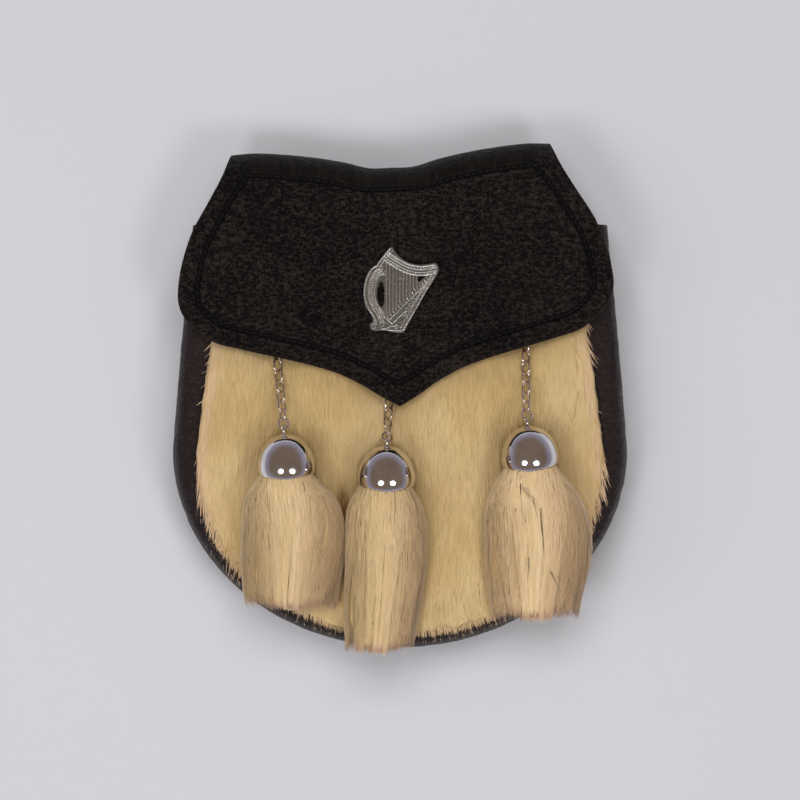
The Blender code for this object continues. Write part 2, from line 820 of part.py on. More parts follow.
def fur_front(tassels, fur):
    """The pile: staggered locks along the hair, thin at the edge and pressed where loaded."""
    draw = random.Random(11)
    stagger = [draw.random() for _ in range(FUR_COLUMNS)]
    teeth = [draw.uniform(0.35, 1.0) for _ in range(FUR_COLUMNS + FUR_ROWS + 2)]
    beds = press_points(tassels)
    mesh = bmesh.new()
    bmesh.ops.create_grid(mesh, x_segments=FUR_COLUMNS, y_segments=FUR_ROWS, size=1.0)
    for vert in mesh.verts:
        u, v = vert.co.x, (vert.co.y + 1.0) / 2.0
        column = round((u + 1.0) / 2.0 * FUR_COLUMNS)
        row = round(v * FUR_ROWS)
        margin = fur_margin(v)
        x, y = panel_point(u, v, margin, FUR_RISE)
        if y >= 0.0:
            inside = (1.0 - abs(u)) * body_half_width(y)
        else:
            reach = math.hypot(x / (BODY_WIDTH / 2 - margin), y / (BODY_DROP - margin))
            inside = (1.0 - reach) * BODY_DROP
        pile = mix(FUR_EDGE, FUR_PILE, smooth(inside / FUR_ROUND))
        lock = column // 2
        phase = (y / LOCK_LENGTH + stagger[lock]) % 1.0
        crest = 0.5 if column % 2 else -0.5
        pile += LOCK_RELIEF * (crest - 0.9 * phase) * smooth(inside / FUR_ROUND * 2.0)
        height = min(FUR_BASE + pile, bed_height(x, y, beds))
        if row == 0:
            y += FUR_TOOTH * (0.4 - teeth[column] * (1.4 if column % 2 else 0.2))
        elif column in (0, FUR_COLUMNS) and row % 2:
            x += math.copysign(FUR_TOOTH * 0.6 * teeth[FUR_COLUMNS + row], u)
            y -= FUR_TOOTH * 0.5
        vert.co = Vector((x, y, height))
    rim = [edge for edge in mesh.edges if edge.is_boundary]
    skirt = bmesh.ops.extrude_edge_only(mesh, edges=rim)["geom"]
    low = [item for item in skirt if isinstance(item, bmesh.types.BMVert)]
    for vert in low:
        vert.co.z = FUR_BASE
    bmesh.ops.holes_fill(mesh, edges=[edge for edge in mesh.edges if edge.is_boundary], sides=0)
    bmesh.ops.recalc_face_normals(mesh, faces=mesh.faces)
    return new_object("fur_front", mesh, fur)


def as_mesh(item):
    """A mesh object made from a curve object, with its caps welded."""
    bpy.context.view_layer.update()
    evaluated = item.evaluated_get(bpy.context.evaluated_depsgraph_get())
    mesh = bpy.data.meshes.new_from_object(evaluated)
    clean = bmesh.new()
    clean.from_mesh(mesh)
    bmesh.ops.remove_doubles(clean, verts=clean.verts, dist=1e-6)
    clean.to_mesh(mesh)
    clean.free()
    made = bpy.data.objects.new(item.name, mesh)
    made.matrix_world = item.matrix_world
    collection.objects.link(made)
    bpy.data.objects.remove(item)
    return made


def flat_spline(curve, points):
    spline = curve.splines.new("POLY")
    spline.points.add(len(points) - 1)
    for knot, (x, y) in zip(spline.points, points):
        knot.co = (x, y, 0.0, 1.0)
    return spline


def harp_curve(name):
    curve = bpy.data.curves.new(name, "CURVE")
    curve.resolution_u = 1
    curve.render_resolution_u = 0
    item = bpy.data.objects.new(name, curve)
    collection.objects.link(item)
    return item


def harp_rib(points, matrix):
    """A raised rib along points on the badge's face, sunk into it by half."""
    item = harp_curve("rib")
    item.data.dimensions = "3D"
    item.data.bevel_depth = HARP_RIB / 2
    item.data.bevel_resolution = 0
    item.data.use_fill_caps = True
    flat_spline(item.data, points)
    item.matrix_world = matrix @ Matrix.Translation((0.0, 0.0, HARP_PLATE + HARP_RIB * 0.08))
    return as_mesh(item)


def harp_matrix():
    """Frame of the badge's back: it lies along the flap's slope, clear of the leather."""
    half = HARP_HEIGHT / 2
    low = flap_under(HARP_X, HARP_Y - half) + FLAP_WALL
    high = flap_under(HARP_X, HARP_Y + half) + FLAP_WALL
    slope = math.atan2(high - low, HARP_HEIGHT)
    bulge = 0.0
    for step in range(-10, 11):
        y = half * step / 10
        face = flap_under(HARP_X, HARP_Y + y) + FLAP_WALL
        bulge = max(bulge, face - mix(low, high, (y / half + 1.0) / 2.0))
    place = Vector((HARP_X, HARP_Y, (low + high) / 2 + bulge + GAP))
    return Matrix.Translation(place) @ Matrix.Rotation(slope, 4, "X")


def harp_badge(metal):
    """A cast harp: a pierced plate with its strings and frame raised."""
    half = HARP_HEIGHT / 2
    matrix = harp_matrix()
    item = harp_curve("harp")
    item.data.dimensions = "2D"
    item.data.fill_mode = "BOTH"
    item.data.extrude = HARP_PLATE / 2
    outlines = [[(x * half, y * half) for x, y in HARP_OUTLINE]]
    for centre_x, centre_y, wide, tall in HARP_HOLES:
        turns = [math.tau * index / HOLE_SIDES for index in range(HOLE_SIDES)]
        round_hole = [(centre_x + wide * math.cos(a), centre_y + tall * math.sin(a)) for a in turns]
        outlines.append([(x * half, y * half) for x, y in round_hole])
    for outline in outlines:
        flat_spline(item.data, outline).use_cyclic_u = True
    item.matrix_world = matrix @ Matrix.Translation((0.0, 0.0, HARP_PLATE / 2))
    plate = finish(as_mesh(item), "harp_badge", metal)
    ribs = []
    for index in range(HARP_STRING_COUNT):
        share = index / (HARP_STRING_COUNT - 1)
        x = mix(HARP_STRING_LEFT, HARP_STRING_RIGHT, share)
        ends = ((x, mix(*HARP_STRING_FOOT, share)), (x, mix(*HARP_STRING_TOP, share)))
        ribs.append(ends)
    ribs += [HARP_PILLAR, HARP_NECK, HARP_SOUND_BOX]
    union(plate, [harp_rib([(x * half, y * half) for x, y in rib], matrix) for rib in ribs])
    return plate


def main():
    clear_scene()
    black_leather = make_material("black leather", (0.020, 0.017, 0.016), 0.45)
    brown_leather = make_material("brown black leather", (0.035, 0.022, 0.018), 0.4)
    fur = make_material("cream fur", (0.72, 0.55, 0.33), 0.9)
    nickel = make_material("nickel", (0.62, 0.60, 0.56), 0.25, 1.0)
    chrome = make_material("chrome", (0.75, 0.75, 0.77), 0.08, 1.0)
    silver = make_material("cast silver", (0.62, 0.66, 0.66), 0.35, 1.0)

    back_panel(brown_leather)
    gusset(brown_leather)
    rim_roll(brown_leather)
    front_panel(brown_leather)
    flap(black_leather)
    flap_stud(nickel)
    harp_badge(silver)
    for side, sign in (("left", -1.0), ("right", 1.0)):
        belt_loop(side, sign * LOOP_SPACING / 2, brown_leather)

    tassels = [tassel_row(row) for row in TASSELS]
    fur_front(tassels, fur)
    chains(nickel)
    for seed, tassel in enumerate(tassels, start=3):
        chain_staple(tassel, nickel)
        dome(tassel, chrome)
        tassel_fur(tassel, seed, fur)


main()
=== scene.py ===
"""Looks of the sporran: leather, fur, bell caps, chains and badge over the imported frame."""

import math

import bmesh
import bpy
import numpy as np
from mathutils import Matrix, Vector, noise
from mathutils.bvhtree import BVHTree
from mathutils.kdtree import KDTree


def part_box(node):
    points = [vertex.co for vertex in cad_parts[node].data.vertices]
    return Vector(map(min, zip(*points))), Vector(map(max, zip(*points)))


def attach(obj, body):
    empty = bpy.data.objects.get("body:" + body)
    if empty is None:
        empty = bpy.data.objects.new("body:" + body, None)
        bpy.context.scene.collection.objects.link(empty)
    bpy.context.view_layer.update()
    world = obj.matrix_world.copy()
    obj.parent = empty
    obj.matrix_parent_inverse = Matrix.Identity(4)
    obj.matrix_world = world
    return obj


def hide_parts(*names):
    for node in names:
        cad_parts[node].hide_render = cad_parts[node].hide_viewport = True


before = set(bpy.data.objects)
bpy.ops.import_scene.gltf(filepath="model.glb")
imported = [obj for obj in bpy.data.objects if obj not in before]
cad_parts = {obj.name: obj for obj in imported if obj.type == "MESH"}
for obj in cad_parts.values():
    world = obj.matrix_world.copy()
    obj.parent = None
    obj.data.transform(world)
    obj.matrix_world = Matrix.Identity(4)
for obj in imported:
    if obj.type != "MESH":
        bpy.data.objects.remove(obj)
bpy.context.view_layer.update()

MM = 0.001
SIDES = ("left", "middle", "right")
UP = Vector((0.0, 0.0, 1.0))
WELD = 1e-6
HIGH_ABOVE = 0.2


def corners(box):
    """The low and high corner of a box."""
    low, high = box
    return Vector(low), Vector(high)


# Sizes read from the frame
rim_low, rim_high = corners(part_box("rim_roll"))
fur_low, fur_high = corners(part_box("fur_front"))
BODY_HALF = rim_high.x
BODY_DROP = -rim_low.y
BODY_RISE = rim_high.y
BODY_DEPTH = rim_high.z
BACK_TOP = corners(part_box("back_panel"))[1].y
FUR_BASE = fur_low.z

# Leather walls and how the body is shaped, as in the frame's solids
SHOULDER_INSET = 9.0 * MM
SHOULDER_CURVE = 1.1
BACK_WALL = 2.4 * MM
GUSSET_WALL = 2.0 * MM
FLAP_WALL = 2.5 * MM
LOOP_WALL = 2.0 * MM
PIECE_GAP = 0.3 * MM
BACK_MARGIN = 2.5 * MM
BACK_LIFT = 7.5 * MM
BACK_LIFT_LOW = 12.0 * MM
BACK_LIFT_HIGH = 52.0 * MM
FLANGE_WIDTH = 14.0 * MM
ROUND_SHARE = 0.6
LINK_WIRE = 0.95 * MM

# The flap, measured up from its tip
FLAP_TIP_Y = 19.0 * MM
FLAP_TURN = math.radians(2.1)
FLAP_WIDTH = 190.0 * MM
FLAP_HEIGHT = 113.5 * MM
FLAP_TAB_WIDTH = 136.0 * MM
FLAP_TAB_LENGTH = 20.0 * MM
FLAP_DROOP = 3.0 * MM
FLAP_SLOPE_LOW = 26.0 * MM
FLAP_SLOPE_HIGH = 79.0 * MM
MOUTH_Z = BODY_DEPTH + 3.2 * MM
TAB_Z = BACK_LIFT + BACK_WALL + PIECE_GAP
LOW_Z = FUR_BASE + 8.5 * MM
SEAM_SIDE = 8.3 * MM
SEAM_TOP = 10.6 * MM

# Outlines and sections: each row gives (key, value) as shares, as in the solids
FLAP_LOWER = (
    (0.00, 0.000), (0.09, 0.041), (0.18, 0.088), (0.30, 0.137), (0.41, 0.167),
    (0.61, 0.210), (0.76, 0.241), (0.90, 0.277), (1.00, 0.339),
)
FLAP_SIDE = (
    (0.339, 0.947), (0.396, 0.989), (0.467, 1.000), (0.687, 0.933),
    (0.819, 0.842), (0.912, 0.779), (1.000, 0.737),
)
FLAP_TOP = (
    (0.00, 0.925), (0.14, 0.927), (0.29, 0.952), (0.47, 0.974),
    (0.67, 0.991), (0.86, 1.000), (1.00, 0.996),
)
GUSSET_SECTION = (
    (0.72, 0.00), (0.30, 0.00), (0.10, 0.08), (0.00, 0.26), (0.00, 0.50),
    (0.00, 0.64), (0.06, 0.80), (0.20, 0.94), (0.42, 1.00), (0.70, 0.995), (1.00, 0.975),
)
DOME_TILT = math.radians(10.0)
DOME_LEAN = {"left": -3.3, "middle": 0.7, "right": -5.6}
DOME_LENGTH = 18.0 * MM
DOME_CROWN = 2.4 * MM
DOME_WALL = 1.0 * MM
EYE_RADIUS = 2.175 * MM
EYE_WIRE = 1.0 * MM
EYE_RISE = 1.65 * MM
DOME_PROFILE = (
    (0.12, 1.00), (0.18, 0.965), (0.42, 0.92), (0.66, 0.80), (0.85, 0.62),
    (0.96, 0.41), (1.00, 0.24), (0.98, 0.09), (0.91, 0.00),
)


# Small helpers

def mix(start, end, share):
    return start + (end - start) * share


def smooth(share):
    share = min(1.0, max(0.0, share))
    return share * share * (3.0 - 2.0 * share)


def ramp(values, start, end):
    """How far an array's values are from start to end, 0 to 1."""
    return np.clip((values - start) / (end - start), 0.0, 1.0)


def read_curve(rows, key):
    """Value at key on a smooth curve through the rows."""
    last = len(rows) - 1
    index = 0
    while index < last - 1 and key > rows[index + 1][0]:
        index += 1
    x0, y0 = rows[index]
    x1, y1 = rows[index + 1]
    secant = (y1 - y0) / (x1 - x0)
    before = (y0 - rows[index - 1][1]) / (x0 - rows[index - 1][0]) if index else secant
    after = (rows[index + 2][1] - y1) / (rows[index + 2][0] - x1) if index + 2 <= last else secant
    slope0, slope1 = (before + secant) / 2, (secant + after) / 2
    t = min(1.0, max(0.0, (key - x0) / (x1 - x0)))
    step = x1 - x0
    return (
        (1 + 2 * t) * (1 - t) ** 2 * y0 + t * (1 - t) ** 2 * step * slope0
        + t * t * (3 - 2 * t) * y1 + t * t * (t - 1) * step * slope1
    )


def read_path(rows, share):
    """Point on a smooth curve through rows of two numbers, share running 0 to 1."""
    keys = [index / (len(rows) - 1) for index in range(len(rows))]
    return tuple(read_curve([(key, row[axis]) for key, row in zip(keys, rows)], share) for axis in (0, 1))


def wander(x, y, scale, seed=0.0):
    """Smooth noise from -1 to 1 over a distance of about scale."""
    return noise.noise(Vector((x / scale, y / scale, seed)))


def new_object(name, data):
    piece = bpy.data.objects.new(name, data)
    bpy.context.scene.collection.objects.link(piece)
    return piece


def select_only(piece, *others):
    bpy.ops.object.select_all(action="DESELECT")
    for other in (*others, piece):
        other.select_set(True)
    bpy.context.view_layer.objects.active = piece


def add_primitive(operator, **settings):
    """A new primitive, with nothing else selected."""
    bpy.ops.object.select_all(action="DESELECT")
    operator(**settings)
    return bpy.context.object


def apply_modifiers(piece):
    select_only(piece)
    for modifier in list(piece.modifiers):
        bpy.ops.object.modifier_apply(modifier=modifier.name)


def add_piece(piece, name, material, slot, *nodes, angle=40.0):
    """Finish a piece: its name, material and smooth faces, and the nodes it replaces. The slot is not used.
    """
    piece.name = name
    piece.data.name = name
    piece.data.materials.clear()
    piece.data.materials.append(material)
    select_only(piece)
    bpy.ops.object.shade_smooth_by_angle(angle=math.radians(angle))
    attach(piece, "root")
    if nodes:
        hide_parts(*nodes)
    return piece


def from_arrays(name, verts, faces):
    mesh = bpy.data.meshes.new(name)
    mesh.from_pydata(verts.tolist(), [], faces)
    mesh.update()
    return new_object(name, mesh)


def set_attribute(piece, name, values):
    layer = piece.data.attributes.new(name, "FLOAT", "POINT")
    layer.data.foreach_set("value", np.asarray(values, dtype=np.float32))


def node_points(name):
    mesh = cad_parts[name].data
    points = np.empty(len(mesh.vertices) * 3)
    mesh.vertices.foreach_get("co", points)
    return points.reshape(-1, 3)


class Beads:
    """Many small copies of one ball, joined in one mesh."""

    def __init__(self, radius):
        ball = add_primitive(bpy.ops.mesh.primitive_uv_sphere_add, segments=8, ring_count=6, radius=radius)
        self.shape = np.array([vert.co[:] for vert in ball.data.vertices])
        self.rings = [list(face.vertices) for face in ball.data.polygons]
        self.verts, self.faces = [], []
        bpy.data.objects.remove(ball)

    def add(self, place, *axes):
        offset = len(self.verts) * len(self.shape)
        self.faces.extend([offset + index for index in ring] for ring in self.rings)
        self.verts.append(self.shape @ np.array(axes) + np.array(place))

    def piece(self, name):
        return from_arrays(name, np.concatenate(self.verts), self.faces)


# Materials

# Colours of the flap's plain band along the top, painted dark as the shade of the fold; of its stitch
# groove, painted dark as the shade in it; and of its worn edge
BAND_SHADE_DARK, BAND_SHADE_LIGHT = (0.0022, 0.0017, 0.0012), (0.0080, 0.0062, 0.0043)
GROOVE_SHADE = (0.0012, 0.0010, 0.0009)
RUBBED_EDGE = (0.030, 0.020, 0.014)

FUR_ROOT = (0.50, 0.33, 0.145)
FUR_MAIN = (0.575, 0.400, 0.175)
FUR_PALE = (0.675, 0.495, 0.247)
FUR_PINK = (0.68, 0.46, 0.29)
FUR_WHITE = (0.84, 0.74, 0.60)
FUR_BRIGHT = (0.95, 0.72, 0.42)
# Brown of the painted shade on the fur
FUR_PAINTED_SHADE = (0.20, 0.10, 0.028)
FUR_DARK = (0.012, 0.009, 0.007)
# What a hair's attributes do to its colour: the range they are read over, how much, and the colour
HAIR_TONES = (
    ("along", 0.0, 0.4, 0.4, 0.0, FUR_ROOT), ("tone", 0.65, 1.0, 0.0, 0.7, FUR_PALE),
    # Tone below 0.35 darkens towards the root colour; past 1, on the tassels only, it lightens towards
    # bright gold as painted light.
    ("tone", 0.0, 0.35, 0.6, 0.0, FUR_ROOT), ("tone", 1.0, 2.0, 0.0, 1.0, FUR_BRIGHT),
    # Pale tints pink below 1, on the tassels as painted shade of their right side, and white above 1.
    ("pale", 0.0, 1.0, 0.0, 1.0, FUR_PINK), ("pale", 1.0, 2.0, 0.0, 1.0, FUR_WHITE),
    # Shade up to 1 is painted shade in brown; past 1 it gives the guard hairs their own dark colour.
    ("shade", 0.0, 1.0, 0.0, 1.0, FUR_PAINTED_SHADE), ("shade", 1.0, 2.0, 0.0, 1.0, FUR_DARK),
)


def new_group(name, inputs, outputs):
    """A shader group: each input has a label, kind and value, and every output is a number."""
    group = bpy.data.node_groups.new(name, "ShaderNodeTree")
    for label, kind, value in inputs:
        group.interface.new_socket(label, in_out="INPUT", socket_type=kind).default_value = value
    for label in outputs:
        group.interface.new_socket(label, in_out="OUTPUT", socket_type="NodeSocketFloat")
    return group, group.nodes.new("NodeGroupInput").outputs, group.nodes.new("NodeGroupOutput").inputs


def feed(tree, socket, value):
    """Link an output to a socket, or set the socket to a number, place or colour."""
    if isinstance(value, bpy.types.NodeSocket):
        tree.links.new(value, socket)
    else:
        socket.default_value = (*value, 1.0) if socket.type == "RGBA" else value


def add_node(tree, kind, inputs, **settings):
    node = tree.nodes.new(kind)
    for key, value in settings.items():
        setattr(node, key, value)
    for key, value in inputs.items():
        feed(tree, node.inputs[key], value)
    return node


def math_node(tree, operation, *values):
    return add_node(tree, "ShaderNodeMath", dict(enumerate(values)), operation=operation).outputs[0]


def map_range(tree, value, low, high, to_low=0.0, to_high=1.0, kind="SMOOTHSTEP"):
    return add_node(tree, "ShaderNodeMapRange", {
        "Value": value, "From Min": low, "From Max": high, "To Min": to_low, "To Max": to_high,
    }, interpolation_type=kind).outputs["Result"]


def mix_colour(tree, share, first, second):
    return add_node(tree, "ShaderNodeMix", {0: share, 6: first, 7: second}, data_type="RGBA").outputs[2]


def mix_value(tree, share, first, second):
    return add_node(tree, "ShaderNodeMix", {0: share, 2: first, 3: second}, data_type="FLOAT").outputs[0]


def attribute(tree, name):
    return add_node(tree, "ShaderNodeAttribute", {}, attribute_name=name).outputs["Fac"]


def cloud(tree, place, scale, detail, roughness=0.5, output="Fac"):
    """Cloudy noise, with as many finer layers as detail says."""
    return add_node(tree, "ShaderNodeTexNoise", {
        "Vector": place, "Scale": scale, "Detail": detail, "Roughness": roughness,
    }).outputs[output]


def stretched(tree, place, scales):
    return add_node(tree, "ShaderNodeMapping", {"Vector": place, "Scale": scales}).outputs["Vector"]


def grain_group():
    """Pebbled leather: cells with soft creases between them, over broad unevenness."""
    group, into, out = new_group("pebble grain", (
        ("Place", "NodeSocketVector", (0.0, 0.0, 0.0)), ("Cells", "NodeSocketFloat", 800.0),
    ), ("Height", "Broad"))
    place = into["Place"]
    bend = add_node(group, "ShaderNodeVectorMath", {
        0: cloud(group, place, 420.0, 2.0, output="Color"), "Scale": 0.0013,
    }, operation="SCALE").outputs[0]
    bent = add_node(group, "ShaderNodeVectorMath", {0: place, 1: bend}, operation="ADD").outputs[0]
    cells = add_node(group, "ShaderNodeTexVoronoi", {
        "Vector": bent, "Scale": into["Cells"],
    }, feature="DISTANCE_TO_EDGE").outputs["Distance"]
    crease = math_node(group, "MULTIPLY", map_range(group, cells, 0.0, 0.34), 0.7)
    fold = cloud(group, stretched(group, place, (0.7, 1.1, 1.0)), 620.0, 3.0, 0.6)
    wrinkle = map_range(group, fold, 0.35, 0.65)
    feed(group, out["Height"], math_node(group, "MULTIPLY_ADD", wrinkle, 0.9, crease))
    feed(group, out["Broad"], cloud(group, place, 34.0, 4.0))
    return group


def streak_group():
    """Hair-like streaks that run along Y, in three sizes."""
    sizes = {"Fine": (2400.0, 90.0, 4.0), "Locks": (260.0, 34.0, 3.0), "Broad": (26.0, 16.0, 2.0)}
    group, into, out = new_group("hair streaks", (("Place", "NodeSocketVector", (0.0, 0.0, 0.0)),), sizes)
    for label, (across, along, detail) in sizes.items():
        place = stretched(group, into["Place"], (across, along, across))
        feed(group, out[label], cloud(group, place, 1.0, detail))
    return group


GRAIN = grain_group()
STREAKS = streak_group()


def new_material(name, **uniform):
    """A material, with what is the same all over set on the shader's own sockets."""
    material = bpy.data.materials.new(name)
    material.use_nodes = True
    tree = material.node_tree
    for label, value in uniform.items():
        feed(tree, tree.nodes["Principled BSDF"].inputs[label.replace("_", " ")], value)
    return material, tree, tree.nodes.new("ShaderNodeTexCoord").outputs["Object"]


def use_group(tree, group, **inputs):
    return add_node(tree, "ShaderNodeGroup", inputs, node_tree=group).outputs


def finish(material, colour, rough=None, height=None, depth=0.0):
    """Give a material its colour and, where asked, its roughness and its relief."""
    tree = material.node_tree
    shader = tree.nodes["Principled BSDF"].inputs
    feed(tree, shader["Base Color"], colour)
    if rough:
        feed(tree, shader["Roughness"], rough)
    if height:
        node = add_node(tree, "ShaderNodeBump", {"Height": height, "Distance": depth, "Strength": 1.0})
        feed(tree, shader["Normal"], node.outputs["Normal"])
    return material


def leather_material(name, dark, light, cells, depth, roughness, seam=False):
    """Leather with a pebbled grain, its colour painted with the grain's light and shade: lighter on the
    raised cells, darker in the creases, over broad random mottling. With seam, a groove along the stitches,
    painted dark as its shade, and a plain band along the top where it folds over, painted dark as the fold's
    shade.
    """
    material, tree, place = new_material(name, Specular_IOR_Level=0.20)
    grain = use_group(tree, GRAIN, Place=place, Cells=cells)
    height = grain["Height"]
    # Painted highlight and shade of the grain: lighter on the raised cells, darker in the creases, over
    # broad random mottling.
    shade = math_node(tree, "MULTIPLY_ADD", grain["Broad"], 0.6, math_node(tree, "MULTIPLY", height, 0.5))
    colour = mix_colour(tree, map_range(tree, shade, 0.35, 1.15), dark, light)
    rough = map_range(tree, height, 0.0, 1.2, roughness + 0.16, roughness - 0.06, "LINEAR")
    if seam:
        # Stitch groove: sunk in the relief and painted dark as the shade in it.
        groove = map_range(tree, math_node(tree, "ABSOLUTE", attribute(tree, "seam")), 0.0004, 0.0017)
        band = attribute(tree, "band")
        wrinkle = cloud(tree, stretched(tree, place, (620.0, 70.0, 200.0)), 1.0, 3.0)
        plain = math_node(tree, "MULTIPLY", wrinkle, 0.8)
        height = mix_value(tree, math_node(tree, "MULTIPLY", band, 0.75), height, plain)
        height = math_node(tree, "MULTIPLY_ADD", groove, 2.6, height)
        # Plain band along the top: wrinkle streaks in colours painted dark as the shade of the fold.
        streaks = mix_colour(tree, map_range(tree, wrinkle, 0.3, 0.7), BAND_SHADE_DARK, BAND_SHADE_LIGHT)
        colour = mix_colour(tree, groove, GROOVE_SHADE, mix_colour(tree, band, colour, streaks))
        edge = attribute(tree, "rub")
        colour = mix_colour(tree, math_node(tree, "MULTIPLY", edge, 0.6), colour, RUBBED_EDGE)
        rough = mix_value(tree, edge, rough, 0.34)
    return finish(material, colour, rough, height, depth)


def metal_material(name, colour, dull, rough_range, marks):
    material, tree, place = new_material(name, Metallic=1.0)
    smudge = cloud(tree, place, marks, 5.0)
    colour = mix_colour(tree, map_range(tree, smudge, 0.35, 0.75), colour, dull)
    return finish(material, colour, map_range(tree, smudge, 0.3, 0.8, *rough_range))


def cast_material():
    """Cast silver: dark in the low places, bright and rubbed on the raised ones."""
    material, tree, place = new_material("cast silver", Metallic=1.0)
    relief = attribute(tree, "relief")
    spots = cloud(tree, place, 900.0, 5.0)
    colour = mix_colour(tree, map_range(tree, relief, 0.2, 0.8), (0.21, 0.214, 0.180), (1.0, 1.0, 0.98))
    colour = mix_colour(tree, map_range(tree, spots, 0.45, 0.75, 0.0, 0.25), colour, (0.60, 0.60, 0.55))
    return finish(material, colour, map_range(tree, relief, 0.0, 1.0, 0.46, 0.26), spots, 0.00032)


def fur_material(name, strands):
    """Cream fur: golden at the root, pale at the tips, with broad drifts of tone."""
    material, tree, place = new_material(
        name, Roughness=0.62, Specular_IOR_Level=0.25, Sheen_Weight=0.25, Sheen_Roughness=0.5,
    )
    streaks = use_group(tree, STREAKS, Place=place)
    colour = mix_colour(tree, map_range(tree, streaks["Broad"], 0.38, 0.66), FUR_MAIN, FUR_PALE)
    if strands:
        for mark, low, high, to_low, to_high, tint in HAIR_TONES:
            share = map_range(tree, attribute(tree, mark), low, high, to_low, to_high)
            colour = mix_colour(tree, share, colour, tint)
        return finish(material, colour)
    locks = streaks["Locks"]
    colour = mix_colour(tree, map_range(tree, locks, 0.35, 0.62), FUR_ROOT, colour)
    height = math_node(tree, "MULTIPLY_ADD", locks, 2.0, streaks["Fine"])
    return finish(material, colour, None, height, 0.0003)


def thread_material():
    material, tree, place = new_material("waxed thread", Roughness=0.6)
    twist = add_node(tree, "ShaderNodeTexWave", {
        "Vector": place, "Scale": 900.0,
    }, bands_direction="DIAGONAL").outputs["Fac"]
    colour = mix_colour(tree, twist, (0.0020, 0.0016, 0.0014), (0.0080, 0.0065, 0.0055))
    return finish(material, colour, None, twist, 0.0001)


black_leather = leather_material(
    "black pebbled leather", (0.0014, 0.0009, 0.0008), (0.0350, 0.0262, 0.0228), 760.0, 0.00070, 0.55,
    seam=True,
)
brown_leather = leather_material(
    "brown black leather", (0.0120, 0.0066, 0.0066), (0.0280, 0.0168, 0.0164), 1500.0, 0.00014, 0.40,
)
chrome = metal_material("chrome plate", (0.80, 0.79, 0.80), (0.66, 0.63, 0.62), (0.07, 0.15), 120.0)
nickel = metal_material("nickel wire", (0.92, 0.84, 0.76), (0.60, 0.48, 0.40), (0.10, 0.26), 900.0)
cast_silver = cast_material()
strand_fur = fur_material("cream fur strands", True)
base_fur = fur_material("cream fur base", False)
thread = thread_material()


# Leather

def leather_sheet(columns, rows, place, wall, outward, edge):
    """A sheet laid out by place(u, v), u from -1 to 1 and v from 0 to 1, with rounded edges."""
    piece = add_primitive(
        bpy.ops.mesh.primitive_grid_add, x_subdivisions=columns, y_subdivisions=rows, size=2.0,
    )
    for vert in piece.data.vertices:
        vert.co = place(vert.co.x, (vert.co.y + 1.0) / 2.0)
    solid = piece.modifiers.new("wall", "SOLIDIFY")
    solid.thickness = wall
    solid.offset = -1.0 if outward else 1.0
    solid.use_even_offset = True
    rounded = piece.modifiers.new("edge", "BEVEL")
    rounded.width = edge
    rounded.segments = 3
    rounded.limit_method = "ANGLE"
    rounded.angle_limit = math.radians(55.0)
    apply_modifiers(piece)
    return piece


def body_half_width(y):
    if y >= 0.0:
        return BODY_HALF - SHOULDER_INSET * (y / BODY_RISE) ** SHOULDER_CURVE
    return BODY_HALF * math.sqrt(max(0.0, 1.0 - (y / BODY_DROP) ** 2))


def rim_point(s):
    """A point on the body's outline: s is 0 at the bottom and -1 and 1 at the two upper ends."""
    if abs(s) < ROUND_SHARE:
        angle = s / ROUND_SHARE * math.pi / 2
        return Vector((BODY_HALF * math.sin(angle), -BODY_DROP * math.cos(angle), 0.0))
    y = BODY_RISE * (abs(s) - ROUND_SHARE) / (1.0 - ROUND_SHARE)
    return Vector((math.copysign(body_half_width(y), s), y, 0.0))


def rim_inward(s):
    step = 0.004
    along = rim_point(min(1.0, s + step)) - rim_point(max(-1.0, s - step))
    inward = Vector((-along.y, along.x, 0.0)).normalized()
    level = Vector((-math.copysign(1.0, s), 0.0, 0.0))
    return inward.lerp(level, smooth((abs(s) - 0.56) / 0.12)).normalized()


def back_lift(y):
    return BACK_LIFT * smooth((y - BACK_LIFT_LOW) / (BACK_LIFT_HIGH - BACK_LIFT_LOW))


def make_gusset():
    def place(u, v):
        inset, depth = read_path(GUSSET_SECTION, v)
        inward = rim_inward(u)
        spot = rim_point(u) + inward * max(0.0, inset) * FLANGE_WIDTH
        back = back_lift(spot.y) + BACK_WALL + PIECE_GAP
        spot.z = mix(back, BODY_DEPTH, min(1.0, max(0.0, depth)))
        side = smooth(depth / 0.3) * smooth((1.02 - depth) / 0.2)
        spot += inward * (0.35 * MM) * side * wander(u * 0.5, spot.z, 0.011, 3.0)
        return spot

    gusset = leather_sheet(180, 32, place, GUSSET_WALL, True, 0.5 * MM)
    return add_piece(gusset, "gusset_leather", brown_leather, "brown_leather", "gusset", "rim_roll")


def make_back_panel():
    low = BODY_DROP - BACK_MARGIN
    wide = BODY_HALF - BACK_MARGIN
    neck = BODY_RISE + 1.2 * MM
    sides, above = 0.5, 0.92

    def place(u, v):
        """The lower half is round, then the sides go up to the neck, which tapers a little."""
        if v < sides:
            angle = (1.0 - v / sides) * math.radians(86.0)
            x = u * wide * math.cos(angle)
            y = -low * math.sin(angle)
            if v < 1e-4:
                y = -low * math.sqrt(1.0 - (x / wide) ** 2)
        elif v < above:
            y = BODY_RISE * (v - sides) / (above - sides)
            x = u * (body_half_width(y) - BACK_MARGIN)
        else:
            y = mix(neck, BACK_TOP, (v - above) / (1.0 - above))
            x = u * mix(BODY_HALF * 0.72, BODY_HALF * 0.66, (y - BODY_RISE) / (BACK_TOP - BODY_RISE))
        return Vector((x, y, back_lift(y)))

    panel = leather_sheet(60, 74, place, BACK_WALL, False, 0.7 * MM)
    return add_piece(panel, "back_leather", brown_leather, "brown_leather", "back_panel")


